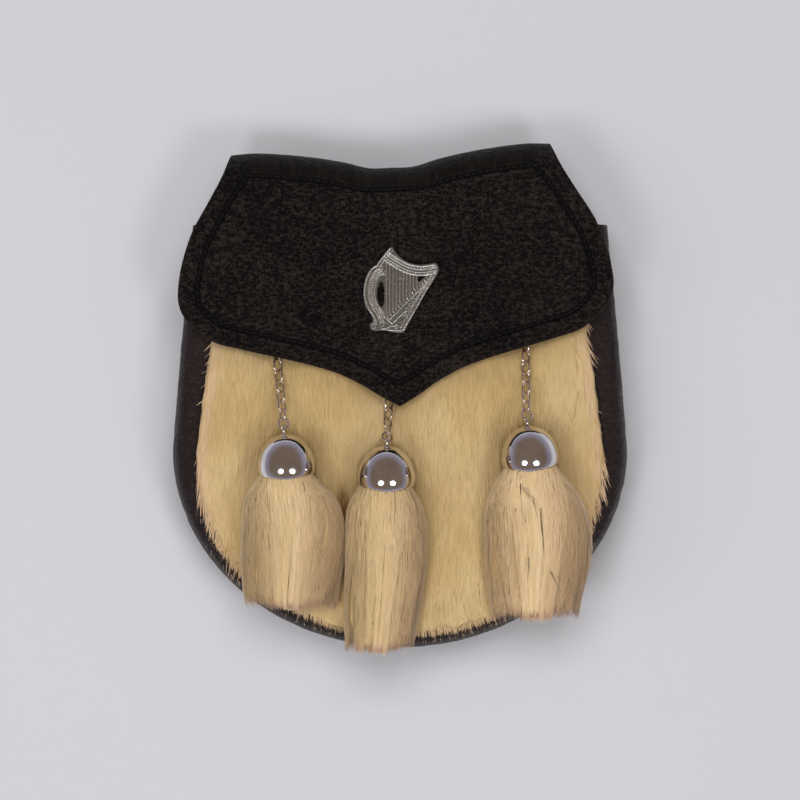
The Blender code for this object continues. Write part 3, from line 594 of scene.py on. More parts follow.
def make_belt_loop(side):
    low, high = corners(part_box("belt_loop_" + side))
    centre = (low + high) / 2
    half = (high.y - low.y) / 2
    foot = high.z - LOOP_WALL
    rise = ((half, foot), (half - 7.5 * MM, foot), (half - 10.5 * MM, foot * 0.5), (half - 13.5 * MM, 0.0))
    profile = [(-y, z) for y, z in rise] + [(0.0, 0.0)] + list(reversed(rise))

    def place(u, v):
        y, z = read_path(profile, v)
        return Vector((centre.x + u * (high.x - low.x) / 2, centre.y + y, min(foot, max(0.0, z))))

    loop = leather_sheet(10, 60, place, LOOP_WALL, False, 0.5 * MM)
    return add_piece(loop, "belt_loop_leather_" + side, brown_leather, "brown_leather", "belt_loop_" + side)


def flap_face(across, up):
    share = smooth((up - FLAP_SLOPE_LOW) / (FLAP_SLOPE_HIGH - FLAP_SLOPE_LOW))
    droop = FLAP_DROOP * min(1.0, abs(across) / (FLAP_WIDTH / 2)) ** 2.5
    return mix(LOW_Z, MOUTH_Z, share) + FLAP_WALL - droop * (1.0 - 0.6 * share)


def flap_side(share):
    corner = FLAP_LOWER[-1][1]
    return read_curve(FLAP_SIDE, mix(corner, 1.0, share)) * FLAP_WIDTH / 2


def flap_local(u, row):
    """Place on the flap: row 0 to 1 is the front, 1 to 2 the fold, 2 to 3 the tab."""
    lower = read_curve(FLAP_LOWER, abs(u)) * FLAP_HEIGHT
    upper = read_curve(FLAP_TOP, abs(u)) * FLAP_HEIGHT
    radius = (flap_face(u * flap_side(1.0), upper) - TAB_Z) / 2
    bend = upper - radius
    if row <= 1.0:
        up = mix(lower, bend, row)
        across = u * flap_side(row * (bend - lower) / (upper - lower))
        dent = 0.25 * MM * wander(across, up, 0.022) * smooth((abs(across) - 0.022) / 0.01)
        return across, up, flap_face(across, up) + dent
    angle = min(1.0, row - 1.0) * math.pi
    up = bend + radius * math.sin(angle)
    height = TAB_Z + radius * (1.0 + math.cos(angle))
    across = u * flap_side((up - lower) / (upper - lower))
    if angle > math.pi / 2:
        across = u * mix(flap_side(1.0), FLAP_TAB_WIDTH / 2, angle / math.pi * 2.0 - 1.0)
    if row > 2.0:
        up = bend - FLAP_TAB_LENGTH * (row - 2.0)
    return across, up, height


def flap_spot(across, up, height=0.0):
    spot = Matrix.Rotation(FLAP_TURN, 2) @ Vector((across, up))
    return Vector((spot.x, spot.y + FLAP_TIP_Y, height))


def flap_outline(count=160):
    """Closed outline of the flap's front as seen from above, anticlockwise from the tip."""
    shares = [index / count for index in range(count)]
    low, high = FLAP_LOWER[-1][1] * FLAP_HEIGHT, FLAP_TOP[-1][1] * FLAP_HEIGHT
    half = [(u * flap_side(0.0), read_curve(FLAP_LOWER, u) * FLAP_HEIGHT) for u in shares]
    half += [(flap_side(share), mix(low, high, share)) for share in shares]
    back = [1.0 - share for share in (*shares, 1.0)]
    half += [(u * flap_side(1.0), read_curve(FLAP_TOP, u) * FLAP_HEIGHT) for u in back]
    return half + [(-x, y) for x, y in reversed(half[1:-1])]


def resample(points, spacing):
    """Points at an even spacing along a closed line."""
    points = [Vector(point) for point in points]
    lengths = [(after - before).length for before, after in zip(points, points[1:] + points[:1])]
    total = sum(lengths)
    count = round(total / spacing)
    even, index, passed = [], 0, 0.0
    for step in range(count):
        distance = total * step / count
        while passed + lengths[index] < distance:
            passed += lengths[index]
            index += 1
        start, end = points[index], points[(index + 1) % len(points)]
        even.append(start.lerp(end, (distance - passed) / max(lengths[index], 1e-9)))
    return even


def seam_line():
    """The stitch line: the outline moved inwards, further along the top, with round corners."""
    outline = resample(flap_outline(), 1.0 * MM)
    count = len(outline)
    line = []
    for index, point in enumerate(outline):
        along = outline[(index + 3) % count] - outline[index - 3]
        inward = Vector((-along.y, along.x)).normalized()
        top = smooth((point.y / FLAP_HEIGHT - 0.88) / 0.06)
        line.append(point + inward * mix(SEAM_SIDE, SEAM_TOP, top))
    clear = SEAM_SIDE - 0.4 * MM
    line = [point for point in line if min((point - other).length for other in outline) > clear]
    line = resample(line, 1.0 * MM)
    for _ in range(14):
        after = line[1:] + line[:1]
        line = [(line[index - 1] + point * 2 + after[index]) / 4 for index, point in enumerate(line)]
    return resample(line, 0.5 * MM)


def tree_of(points):
    tree = KDTree(len(points))
    for index, point in enumerate(points):
        tree.insert(point.to_3d(), index)
    tree.balance()
    return tree


def make_flap():
    front, fold, tab = 92, 28, 7
    rows = front + fold + tab

    def place(u, v):
        row = v * rows
        if row <= front:
            part = row / front
        elif row <= front + fold:
            part = 1.0 + (row - front) / fold
        else:
            part = 2.0 + (row - front - fold) / tab
        return flap_spot(*flap_local(u, part))

    flap = leather_sheet(150, rows, place, FLAP_WALL, True, 0.8 * MM)
    line = seam_line()
    seam_tree = tree_of(line)
    edge_tree = tree_of(resample(flap_outline(), 1.0 * MM))
    turn_back = Matrix.Rotation(-FLAP_TURN, 2)
    half = flap_side(1.0)
    seam, band, rub = [], [], []
    for vert in flap.data.vertices:
        local = turn_back @ Vector((vert.co.x, vert.co.y - FLAP_TIP_Y))
        _, index, distance = seam_tree.find(local.to_3d())
        along = line[(index + 1) % len(line)] - line[index - 1]
        away = local - line[index]
        inside = along.x * away.y - along.y * away.x > 0.0
        in_front = vert.co.z > flap_face(local.x, local.y) - FLAP_WALL * 0.6 or local.y > FLAP_HEIGHT * 0.86
        in_front = in_front and vert.co.z > (TAB_Z + MOUTH_Z) / 2
        seam.append((distance if inside else -distance) if in_front else 0.02)
        strip = read_curve(FLAP_TOP, min(1.0, abs(local.x) / half)) * FLAP_HEIGHT - SEAM_TOP
        top = smooth((local.y - strip) / (1.0 * MM)) * smooth((half - abs(local.x) - 3 * MM) / (5 * MM))
        band.append(top if in_front else 0.0)
        near = edge_tree.find(local.to_3d())[2]
        rub.append((1.0 - smooth(near / (1.3 * MM))) * smooth((FLAP_HEIGHT * 0.8 - local.y) / (10 * MM)))
    for name, values in (("seam", seam), ("band", band), ("rub", rub)):
        set_attribute(flap, name, values)
    return add_piece(flap, "flap_leather", black_leather, "black_leather", "flap"), line


def surface_of(*pieces):
    """A ray-casting surface over the given meshes."""
    verts, faces = [], []
    for piece in pieces:
        offset = len(verts)
        verts.extend(vert.co.copy() for vert in piece.data.vertices)
        faces.extend([offset + index for index in face.vertices] for face in piece.data.polygons)
    return BVHTree.FromPolygons(verts, faces)


def sew(name, runs, length, spacing, width, sink):
    """Thread stitches along runs of (place, direction, normal), joined in one mesh."""
    stitches = Beads(0.5)
    blunt = stitches.shape[:, 1]
    stitches.shape[:, 1] = np.sign(blunt) * np.abs(blunt * 2) ** 0.6 / 2
    for run in runs:
        step = max(1, round(spacing / (run[1][0] - run[0][0]).length))
        for place, along, normal in run[::step]:
            across = along.cross(normal).normalized()
            stitches.add(place - normal * sink, across * width, along * length, normal * width)
    return add_piece(stitches.piece(name), name, thread, "black_leather", angle=60.0)


def run_on(surface, points, direction, closed=False):
    """Stitch places: points dropped along direction onto a surface."""
    hits = []
    for point in points:
        place, normal, _, _ = surface.ray_cast(point - direction * HIGH_ABOVE, direction)
        if place is not None:
            hits.append((place, normal if normal.dot(direction) < 0 else -normal))
    run = []
    for index, (place, normal) in enumerate(hits):
        after = hits[(index + 1) % len(hits) if closed else min(index + 1, len(hits) - 1)][0]
        before = hits[index - 1 if closed else max(0, index - 1)][0]
        run.append((place, (after - before).normalized(), normal))
    return run


def make_stitches(flap, line, back, loops):
    run = run_on(surface_of(flap), [flap_spot(point.x, point.y) for point in line], -UP, True)
    sew("flap_stitches", [run], 2.3 * MM, 3.1 * MM, 0.55 * MM, 0.12 * MM)
    shares = (-0.985 + 1.97 * index / 899 for index in range(900))
    edge = [rim_point(s) + rim_inward(s) * (BACK_MARGIN + 2.6 * MM) for s in shares]
    sew("back_stitches", [run_on(surface_of(back), edge, UP)], 2.4 * MM, 3.3 * MM, 0.6 * MM, 0.1 * MM)
    runs = []
    for loop in loops:
        surface = surface_of(loop)
        places = [vert.co for vert in loop.data.vertices]
        low, high = (Vector(map(pick, zip(*places))) for pick in (min, max))
        width = high.x - low.x - 4.4 * MM
        for y in (low.y + 2.0 * MM, low.y + 5.6 * MM, high.y - 5.6 * MM, high.y - 2.0 * MM):
            row = [Vector((low.x + 2.2 * MM + width * step / 40, y, 0.0)) for step in range(41)]
            runs.append(run_on(surface, row, UP))
    sew("loop_stitches", runs, 2.0 * MM, 2.9 * MM, 0.6 * MM, 0.1 * MM)


# Bell caps and chains

def dome_frame(side):
    """Rim centre, axis and half width of a bell cap."""
    points = node_points("dome_" + side)
    lean = math.radians(DOME_LEAN[side])
    axis = np.array((
        math.sin(lean) * math.cos(DOME_TILT), math.cos(lean) * math.cos(DOME_TILT), math.sin(DOME_TILT),
    ))
    heights = points @ axis
    rim = points[heights < heights.min() + 0.1 * MM]
    rim_centre = rim.mean(axis=0)
    away = points - rim_centre
    radii = np.linalg.norm(away - np.outer(away @ axis, axis), axis=1)
    return Vector(rim_centre), Vector(axis), float(radii.max())


def place_on(piece, origin, *axes):
    """Move a piece's mesh so that its X, Y and Z lie along three axes at an origin."""
    piece.data.transform(Matrix.Translation(origin) @ Matrix(axes).transposed().to_4x4())


def make_dome(side):
    rim, axis, half = dome_frame(side)
    rows = [read_path(DOME_PROFILE, index / 44) for index in range(45)]
    inner = 1.0 - DOME_WALL / half
    inside = DOME_LENGTH - DOME_CROWN
    outline = [(0.0, 0.0, DOME_LENGTH)] + [(r * half, 0.0, max(0.0, h) * DOME_LENGTH) for r, h in rows]
    outline += [(r * half * inner, 0.0, max(0.0, h) * inside) for r, h in reversed(rows[10:])]
    outline += [(0.0, 0.0, inside * DOME_PROFILE[2][1])]
    mesh = bpy.data.meshes.new("dome")
    mesh.from_pydata(outline, [(i, i + 1) for i in range(len(outline) - 1)], [])
    dome = new_object("dome", mesh)
    turned = dome.modifiers.new("turned", "SCREW")
    turned.steps = turned.render_steps = 64
    turned.use_merge_vertices = True
    turned.merge_threshold = WELD
    dome.modifiers.new("weld", "WELD").merge_threshold = WELD
    apply_modifiers(dome)
    eye = add_primitive(
        bpy.ops.mesh.primitive_torus_add, major_segments=36, minor_segments=14,
        major_radius=EYE_RADIUS, minor_radius=EYE_WIRE / 2,
        location=(0.0, 0.0, DOME_LENGTH + EYE_RISE), rotation=(0.0, math.pi / 2, 0.0),
    )
    bpy.ops.object.transform_apply(location=True, rotation=True, scale=True)
    select_only(dome, eye)
    bpy.ops.object.join()
    cross = axis.cross(UP).normalized()
    place_on(dome, rim, cross, axis.cross(cross), axis)
    return add_piece(dome, "bell_cap_" + side, chrome, "chrome", "dome_" + side, angle=50.0)


def make_link(node):
    """A smooth link in the place of the faceted one, with a small weld on one side."""
    points = node_points(node)
    centre = points.mean(axis=0)
    turn = np.linalg.svd(points - centre, full_matrices=False)[2]
    if np.linalg.det(turn) < 0:
        turn[2] *= -1
    spans = np.ptp((points - centre) @ turn.T, axis=0)
    middle = (spans[1] - LINK_WIRE) / 2
    link = add_primitive(
        bpy.ops.mesh.primitive_torus_add, major_segments=28, minor_segments=12, major_radius=middle,
        minor_radius=LINK_WIRE / 2,
    )
    stretch = (spans[0] - spans[1]) / 2
    for vert in link.data.vertices:
        x, y, z = vert.co
        along = y + math.copysign(stretch, y) * smooth(abs(y) / (0.25 * MM))
        weld = 1.0 + 0.16 * math.exp(-((y / (0.35 * MM)) ** 2)) * (x > 0)
        vert.co = (middle + (x - middle) * weld if x > 0 else x, along, z * weld)
    place_on(link, centre, turn[1], turn[0], np.cross(turn[1], turn[0]))
    return add_piece(link, node.replace("chain", "link"), nickel, "nickel", node, angle=80.0)


# Fur

def between(grid, row, column):
    """Values of a grid at places between its rows and columns. The columns go round."""
    r0, c0 = row.astype(int), column.astype(int) % grid.shape[1]
    fr, fc = row - r0, column - column.astype(int)
    c1 = (c0 + 1) % grid.shape[1]
    return (
        grid[r0, c0] * (1 - fr) * (1 - fc) + grid[r0 + 1, c0] * fr * (1 - fc)
        + grid[r0, c1] * (1 - fr) * fc + grid[r0 + 1, c1] * fr * fc
    )


class Bed:
    """Heights of what lies below, on an even grid, for laying hair on."""

    def __init__(self, surface, low, high, step):
        self.low, self.step = low, step
        self.columns = int((high.x - low.x) / step) + 2
        self.rows = int((high.y - low.y) / step) + 2
        lowest = FUR_BASE - 6 * MM
        self.z = np.full((self.rows, self.columns), lowest)
        for row in range(self.rows):
            for column in range(self.columns):
                start = Vector((low.x + column * step, low.y + row * step, HIGH_ABOVE))
                hit = surface.ray_cast(start, -UP)[0]
                if hit is not None:
                    self.z[row, column] = max(hit.z, lowest)

    def height(self, x, y):
        column = np.clip((x - self.low.x) / self.step, 0, self.columns - 1.001)
        row = np.clip((y - self.low.y) / self.step, 0, self.rows - 1.001)
        return between(self.z, row, column)


def strands(name, lines, widths, ups, tone, pale, shade):
    """Tapered three-sided hairs along lines (hair, ring, xyz), joined in one mesh."""
    count, rings, _ = lines.shape
    along = np.gradient(lines, axis=1)
    along /= np.linalg.norm(along, axis=2, keepdims=True) + 1e-12
    across = np.cross(along, ups)
    across /= np.linalg.norm(across, axis=2, keepdims=True) + 1e-12
    over = np.cross(across, along)
    taper = np.array([0.85, 1.0, 0.0]) if rings == 3 else np.linspace(1.0, 0.0, rings)
    half = (widths[:, None] * taper)[:, :, None] / 2
    flat = 0.45
    body = slice(0, rings - 1)
    left = (lines - across * half)[:, body]
    right = (lines + across * half)[:, body]
    top = (lines + over * half * flat)[:, body]
    rim = np.stack((left, right, top), axis=2).reshape(count, -1, 3)
    verts = np.concatenate((rim, lines[:, -1:]), axis=1).reshape(-1, 3)
    per = (rings - 1) * 3 + 1
    pattern = [(0, 2, 1)]
    for ring in range(rings - 2):
        for corner in range(3):
            after = (corner + 1) % 3
            a, b = ring * 3 + corner, ring * 3 + after
            pattern.append((a, b, b + 3, a + 3))
    last = (rings - 2) * 3
    for corner in range(3):
        pattern.append((last + corner, last + (corner + 1) % 3, per - 1))
    faces = []
    for offset in (np.arange(count) * per).tolist():
        faces.extend([tuple(offset + index for index in face) for face in pattern])
    piece = from_arrays(name, verts, faces)
    shares = np.repeat(np.linspace(0.0, 1.0, rings), [3] * (rings - 1) + [1])
    set_attribute(piece, "along", np.tile(shares, count))
    set_attribute(piece, "tone", np.repeat(tone, per))
    for label, values in (("pale", pale), ("shade", shade)):
        if values.ndim == 1:
            values = np.repeat(values[:, None], rings, axis=1)
        set_attribute(piece, label, np.repeat(values, [3] * (rings - 1) + [1], axis=1).ravel())
    return add_piece(piece, name, strand_fur, "cream_fur", angle=80.0)


def field(x, y, scale, seed):
    """Smooth noise over arrays, from a few waves in seeded directions."""
    draw = np.random.default_rng(seed)
    total = np.zeros_like(x)
    for _ in range(6):
        angle, phase = draw.uniform(0, math.tau, 2)
        rate = math.tau / (scale * draw.uniform(0.7, 1.6))
        total += np.sin((x * math.cos(angle) + y * math.sin(angle)) * rate + phase)
    return total / 3.0


BED_LOW, BED_HIGH = Vector((-0.1, -0.09, 0.0)), Vector((0.1, 0.08, 0.0))


def fur_outline(y):
    """Half width of the pile on the front, as far as its backing goes."""
    share = np.clip((y - fur_low.y) / (fur_high.y - fur_low.y), 0.0, 1.0)
    margin = mix(7.0 * MM, 15.5 * MM, share)
    side = BODY_HALF - SHOULDER_INSET * np.maximum(y, 0.0) ** SHOULDER_CURVE / BODY_RISE ** SHOULDER_CURVE
    down = np.minimum(y, 0.0) / (BODY_DROP - margin)
    arc = (BODY_HALF - margin) * np.sqrt(np.maximum(0.0, 1.0 - down ** 2))
    return np.where(y >= 0.0, side - margin, arc)


def touch_shade(x, y, marks):
    """Painted shade on the fur round things that lie on it or press into it: each mark is a line with its
    half width.
    """
    shade = np.zeros_like(x)
    for start, end, half, soft, depth in marks:
        run = np.array((end[0] - start[0], end[1] - start[1]))
        share = ((x - start[0]) * run[0] + (y - start[1]) * run[1]) / max(float(run @ run), 1e-12)
        share = np.clip(share, 0.0, 1.0)
        away = np.hypot(x - start[0] - run[0] * share, y - start[1] - run[1] * share) - half
        shade = np.maximum(shade, depth * np.exp(-((np.maximum(away, 0.0) / soft) ** 2)))
    return shade


def shade_marks():
    """Where painted shade goes on the fur: a short stroke between the left and middle tassels, under the
    flap's lower edge, round the caps, along the chains and beside the tassels.
    """
    marks = [((-0.0250, -0.020), (-0.0235, -0.036), 0.3 * MM, 3.0 * MM, 1.0)]
    for hand in (1, -1):
        edge = [flap_spot(hand * x * flap_side(0.0), y * FLAP_HEIGHT) for x, y in FLAP_LOWER]
        marks += [(start, end, 1.0 * MM, 8.0 * MM, 0.36) for start, end in zip(edge, edge[1:])]
    for side in SIDES:
        rim, axis, half = dome_frame(side)
        top = rim + axis * (DOME_LENGTH - half)
        staple = sum(corners(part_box("chain_staple_" + side)), Vector()) / 2
        low, high = corners(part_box("tassel_fur_" + side))
        marks.append((rim, top, half * 0.96, 1.7 * MM, 0.75))
        marks.append((top, staple, 1.5 * MM, 2.0 * MM, 0.30))
        end = ((low.x + high.x) / 2, mix(rim.y, low.y, 0.45))
        marks.append((rim, end, (high.x - low.x) * 0.40, 2.6 * MM, 0.40))
    return marks


def make_fur_base():
    """The backing of the pile: a rounded copy of the solid."""
    base = new_object("fur_front_base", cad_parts["fur_front"].data.copy())
    solid = bmesh.new()
    solid.from_mesh(base.data)
    bmesh.ops.remove_doubles(solid, verts=solid.verts, dist=WELD)
    bmesh.ops.join_triangles(solid, faces=solid.faces, angle_face_threshold=0.7, angle_shape_threshold=3.0)
    solid.to_mesh(base.data)
    solid.free()
    rounding = base.modifiers.new("round", "SUBSURF")
    rounding.levels = rounding.render_levels = 1
    apply_modifiers(base)
    return add_piece(base, "fur_front_base", base_fur, "cream_fur", "fur_front", angle=80.0)


def make_front_fur(gusset):
    surface = surface_of(make_fur_base(), gusset)
    bed = Bed(surface, BED_LOW, BED_HIGH, 1.2 * MM)
    marks = shade_marks()
    t = np.linspace(0.0, 1.0, 3)[None, :]
    for layer, count, width, seed, hover in (
        ("under", 10000, 0.52 * MM, 21, 0.15 * MM), ("top", 19500, 0.27 * MM, 22, 0.35 * MM),
    ):
        draw = np.random.default_rng(seed)
        x = draw.uniform(-BODY_HALF, BODY_HALF, count * 3)
        y = draw.uniform(-BODY_DROP, fur_high.y, count * 3)
        keep = np.abs(x) < fur_outline(y) - 0.3 * MM
        x, y = x[keep][:count], y[keep][:count]
        count = len(x)
        length = draw.uniform(9.0, 15.0, count) * MM
        side = ramp(np.abs(x) - fur_outline(y), -16 * MM, 0.0)
        # Which way each hair leans: drifts, the sides, strays, the tuft at the right and the bottom
        lean = 0.13 * field(x, y, 0.045, 7) + 0.05 * draw.normal(size=count)
        lean += np.sign(x) * side ** 2 * draw.uniform(0.0, 0.30, count)
        stray = (draw.uniform(size=count) < 0.035) & (side > 0.75)
        lean += np.where(stray, np.sign(x) * draw.uniform(0.3, 0.9, count), 0.0)
        tuft = (x > 73 * MM) & (y > 42 * MM)
        lean += np.where(tuft, draw.uniform(0.05, 0.50, count), 0.0)
        lean += x / BODY_HALF * ramp(-y, BODY_DROP * 0.45, BODY_DROP * 0.95) * 0.35
        clump_x = np.round((x + 1.5 * MM * field(x, y, 0.02, 9)) / (4.6 * MM)) * 4.6 * MM
        # Hairs near the bottom edge end close to it
        room = y + np.sqrt(np.maximum(0.0, 1 - (x / BODY_HALF) ** 2)) * BODY_DROP
        room -= draw.uniform(1.2, 7.5, count) * MM
        over = room < length
        y = np.where(over, y + np.maximum(7.5 * MM - room, 0.0), y)
        length = np.where(over, np.maximum(room, 7.5 * MM), length)
        length *= np.where(stray, 0.5, 1.0) * np.where(tuft, 0.75, 1.0)
        px = x[:, None] + np.sin(lean)[:, None] * length[:, None] * t
        px += (clump_x - x)[:, None] * 0.25 * t ** 2
        px += 0.15 * MM * np.sin(t * 4.0 + draw.uniform(0, 6.28, (count, 1)))
        py = y[:, None] - np.cos(lean)[:, None] * length[:, None] * t
        lift = draw.uniform(0.15, 1.0, count)[:, None] * hover
        pz = bed.height(px, py) + lift * np.sin(np.pi * (0.12 + 0.6 * t))
        pz += draw.uniform(0.0, 0.2 * MM, (count, 1)) * t
        pz[:, 0] -= 0.3 * MM
        lines = np.stack((px, py, np.maximum(pz, BODY_DEPTH * 0.9 + 0.2 * MM)), axis=2)
        ups = np.zeros_like(lines)
        ups[:, :, 2] = 1.0
        ups[:, :, 0] = draw.normal(scale=0.15, size=(count, 1))
        tone = np.clip(0.5 + 0.20 * field(x, y, 0.03, 13) + draw.normal(scale=0.13, size=count), 0.0, 1.0)
        edge = np.clip(side * 0.9 - 0.35 + 0.2 * field(x, y, 0.05, 15), 0.0, 0.7)
        pale = edge[:, None] + ramp(t, 0.45, 1.0) * (over | (side > 0.8))[:, None] * 0.9
        # Painted shade round the flap, the caps, the chains and the tassels.
        shade = touch_shade(px, py, marks) * draw.uniform(0.75, 1.0, (count, 1))
        strands("fur_front_" + layer, lines, draw.uniform(0.7, 1.25, count) * width, ups, tone, pale, shade)


# The tassels as seen from the front, in millimetres: height, middle, half width
TASSEL_FORM = {
    "left": (
        (-12.0, -49.6, 10.6), (-15.5, -48.9, 14.8), (-19.2, -47.6, 18.6), (-28.1, -46.6, 21.6),
        (-37.0, -46.2, 22.6), (-50.4, -47.1, 22.2), (-63.7, -47.7, 20.6), (-70.0, -47.7, 19.4),
    ),
    "middle": (
        (-16.6, -6.4, 10.4), (-19.5, -6.4, 13.4), (-23.6, -6.5, 15.8), (-37.0, -5.9, 17.6),
        (-55.0, -6.5, 17.3), (-68.0, -7.6, 16.4), (-83.0, -9.0, 15.0), (-89.0, -9.4, 14.4),
    ),
    "right": (
        (-8.7, 56.5, 10.6), (-12.7, 57.4, 14.9), (-19.7, 58.0, 19.3), (-29.7, 59.3, 22.4),
        (-43.0, 60.2, 23.3), (-52.8, 59.5, 22.5), (-61.8, 58.8, 20.6), (-74.5, 58.6, 18.6),
    ),
}


def tassel_shape(side):
    """Radii of a tassel round its centre line: rows along it, columns round it."""
    points = node_points("tassel_fur_" + side)
    rim, axis, half = dome_frame(side)
    form = TASSEL_FORM[side]
    rows, columns = 44, 48
    levels = np.linspace(rim.y + 4.0 * MM, form[-1][0] * MM, rows)
    middles, highs = [(-y, x) for y, x, _ in form], [(-y, wide) for y, _, wide in form]
    centres, tall, wide = np.zeros((rows, 3)), np.zeros(rows), np.zeros(rows)
    for row, y in enumerate(levels):
        near = points[np.abs(points[:, 1] - max(y, points[:, 1].min() + 4 * MM)) < 7 * MM]
        low, high = max(near[:, 2].min(), FUR_BASE), near[:, 2].max()
        centres[row] = (read_curve(middles, -y / MM) * MM, y, (low + high) / 2)
        tall[row], wide[row] = (high - low) / 2, read_curve(highs, -y / MM) * MM
    for _ in range(16):
        for line in (centres, tall):
            line[1:-1] = (line[:-2] + line[1:-1] * 2 + line[2:]) / 4
    inside = ramp(levels, rim.y - 2.0 * MM, rim.y + 2.0 * MM)
    spread = ramp(-levels, -rim.y, 14.0 * MM - rim.y)
    tall = mix(half * 0.92, tall, spread)
    centres[:, 2] = mix(rim.z, centres[:, 2], spread)
    wide, tall = mix(wide, half * 0.80, inside), mix(tall, half * 0.80, inside)
    turn = np.arange(columns) / columns * math.tau
    power = 2.25
    across = (np.abs(np.cos(turn))[None, :] / wide[:, None]) ** power
    up = (np.abs(np.sin(turn))[None, :] / tall[:, None]) ** power
    radii = (across + up) ** (-1.0 / power)
    return levels, centres, radii


def tassel_point(shape, along, angle, hover):
    """Places on a tassel for arrays of along (0 to 1) and angle, hover above its surface."""
    levels, centres, radii = shape
    rows, columns = radii.shape
    row = np.clip(along, 0.0, 1.0) * (rows - 1.001)
    radius = between(radii, row, (angle / math.tau % 1.0) * columns) + hover
    above = row.astype(int)
    centre = mix(centres[above], centres[above + 1], (row - above)[..., None])
    past = np.maximum(along - 1.0, 0.0) * (levels[0] - levels[-1])
    return np.stack((
        centre[..., 0] + np.cos(angle) * radius,
        centre[..., 1] - past,
        centre[..., 2] + np.sin(angle) * radius,
    ), axis=-1), centre


# Creases between the locks of each tassel: angle on the top, where along, width and depth
CREASES = {
    "left": ((1.60, 0.30, 1.1, 0.10, 0.13), (1.02, 0.35, 1.1, 0.08, 0.07), (2.15, 0.4, 1.1, 0.07, 0.06)),
    "middle": ((1.50, 0.35, 1.1, 0.12, 0.14), (2.05, 0.5, 1.1, 0.08, 0.06), (0.95, 0.2, 0.8, 0.08, 0.06)),
    "right": ((1.85, 0.15, 0.8, 0.10, 0.12), (1.35, 0.2, 1.1, 0.09, 0.12), (0.95, 0.45, 1.1, 0.08, 0.07)),
}
# How far each tassel's hair is painted lighter: painted light that makes up for the shade on the tassels,
# most on the right one.
TASSEL_PAINTED_LIGHT = {"left": 1.36, "middle": 1.27, "right": 1.50}
# Dark guard hairs on the right tassel: start, end and how many lie together, in millimetres
DARK_HAIRS = (
    ((52.0, -14.8), (53.4, -34.0), 3), ((52.0, -14.4), (61.0, -26.0), 4), ((60.5, -25.0), (62.6, -46.0), 7),
    ((55.4, -46.0), (55.6, -54.0), 4), ((65.5, -52.5), (70.8, -63.5), 4), ((47.0, -60.5), (48.2, -66.5), 3),
    ((57.5, -20.0), (60.0, -31.0), 2), ((50.0, -24.0), (51.0, -33.0), 1),
)


def tassel_core(side, shape):
    """The body under the hair: the tassel's shape a little smaller, closed at both ends."""
    levels, centres, radii = shape
    columns = radii.shape[1]
    rows = 34
    along = np.repeat(np.linspace(0.0, 0.92, rows)[:, None], columns, axis=1)
    turn = np.repeat(np.arange(columns)[None, :] / columns * math.tau, rows, axis=0)
    places, centre = tassel_point(shape, along, turn, np.full(along.shape, -1.2 * MM))
    closing = ramp(along[..., None], 0.80, 0.92)
    places = centre + (places - centre) * np.sqrt(1.0 - 0.97 * closing ** 2)
    faces = [list(range(columns)), list(range(rows * columns - 1, (rows - 1) * columns - 1, -1))]
    for row in range(rows - 1):
        for column in range(columns):
            after = (column + 1) % columns
            a, b = row * columns, (row + 1) * columns
            faces.append([a + column, b + column, b + after, a + after])
    core = from_arrays("core", places.reshape(-1, 3), faces)
    solid = bmesh.new()
    solid.from_mesh(core.data)
    bmesh.ops.recalc_face_normals(solid, faces=solid.faces)
    solid.to_mesh(core.data)
    solid.free()
    return add_piece(core, "tassel_base_" + side, base_fur, "cream_fur", "tassel_fur_" + side, angle=80.0)


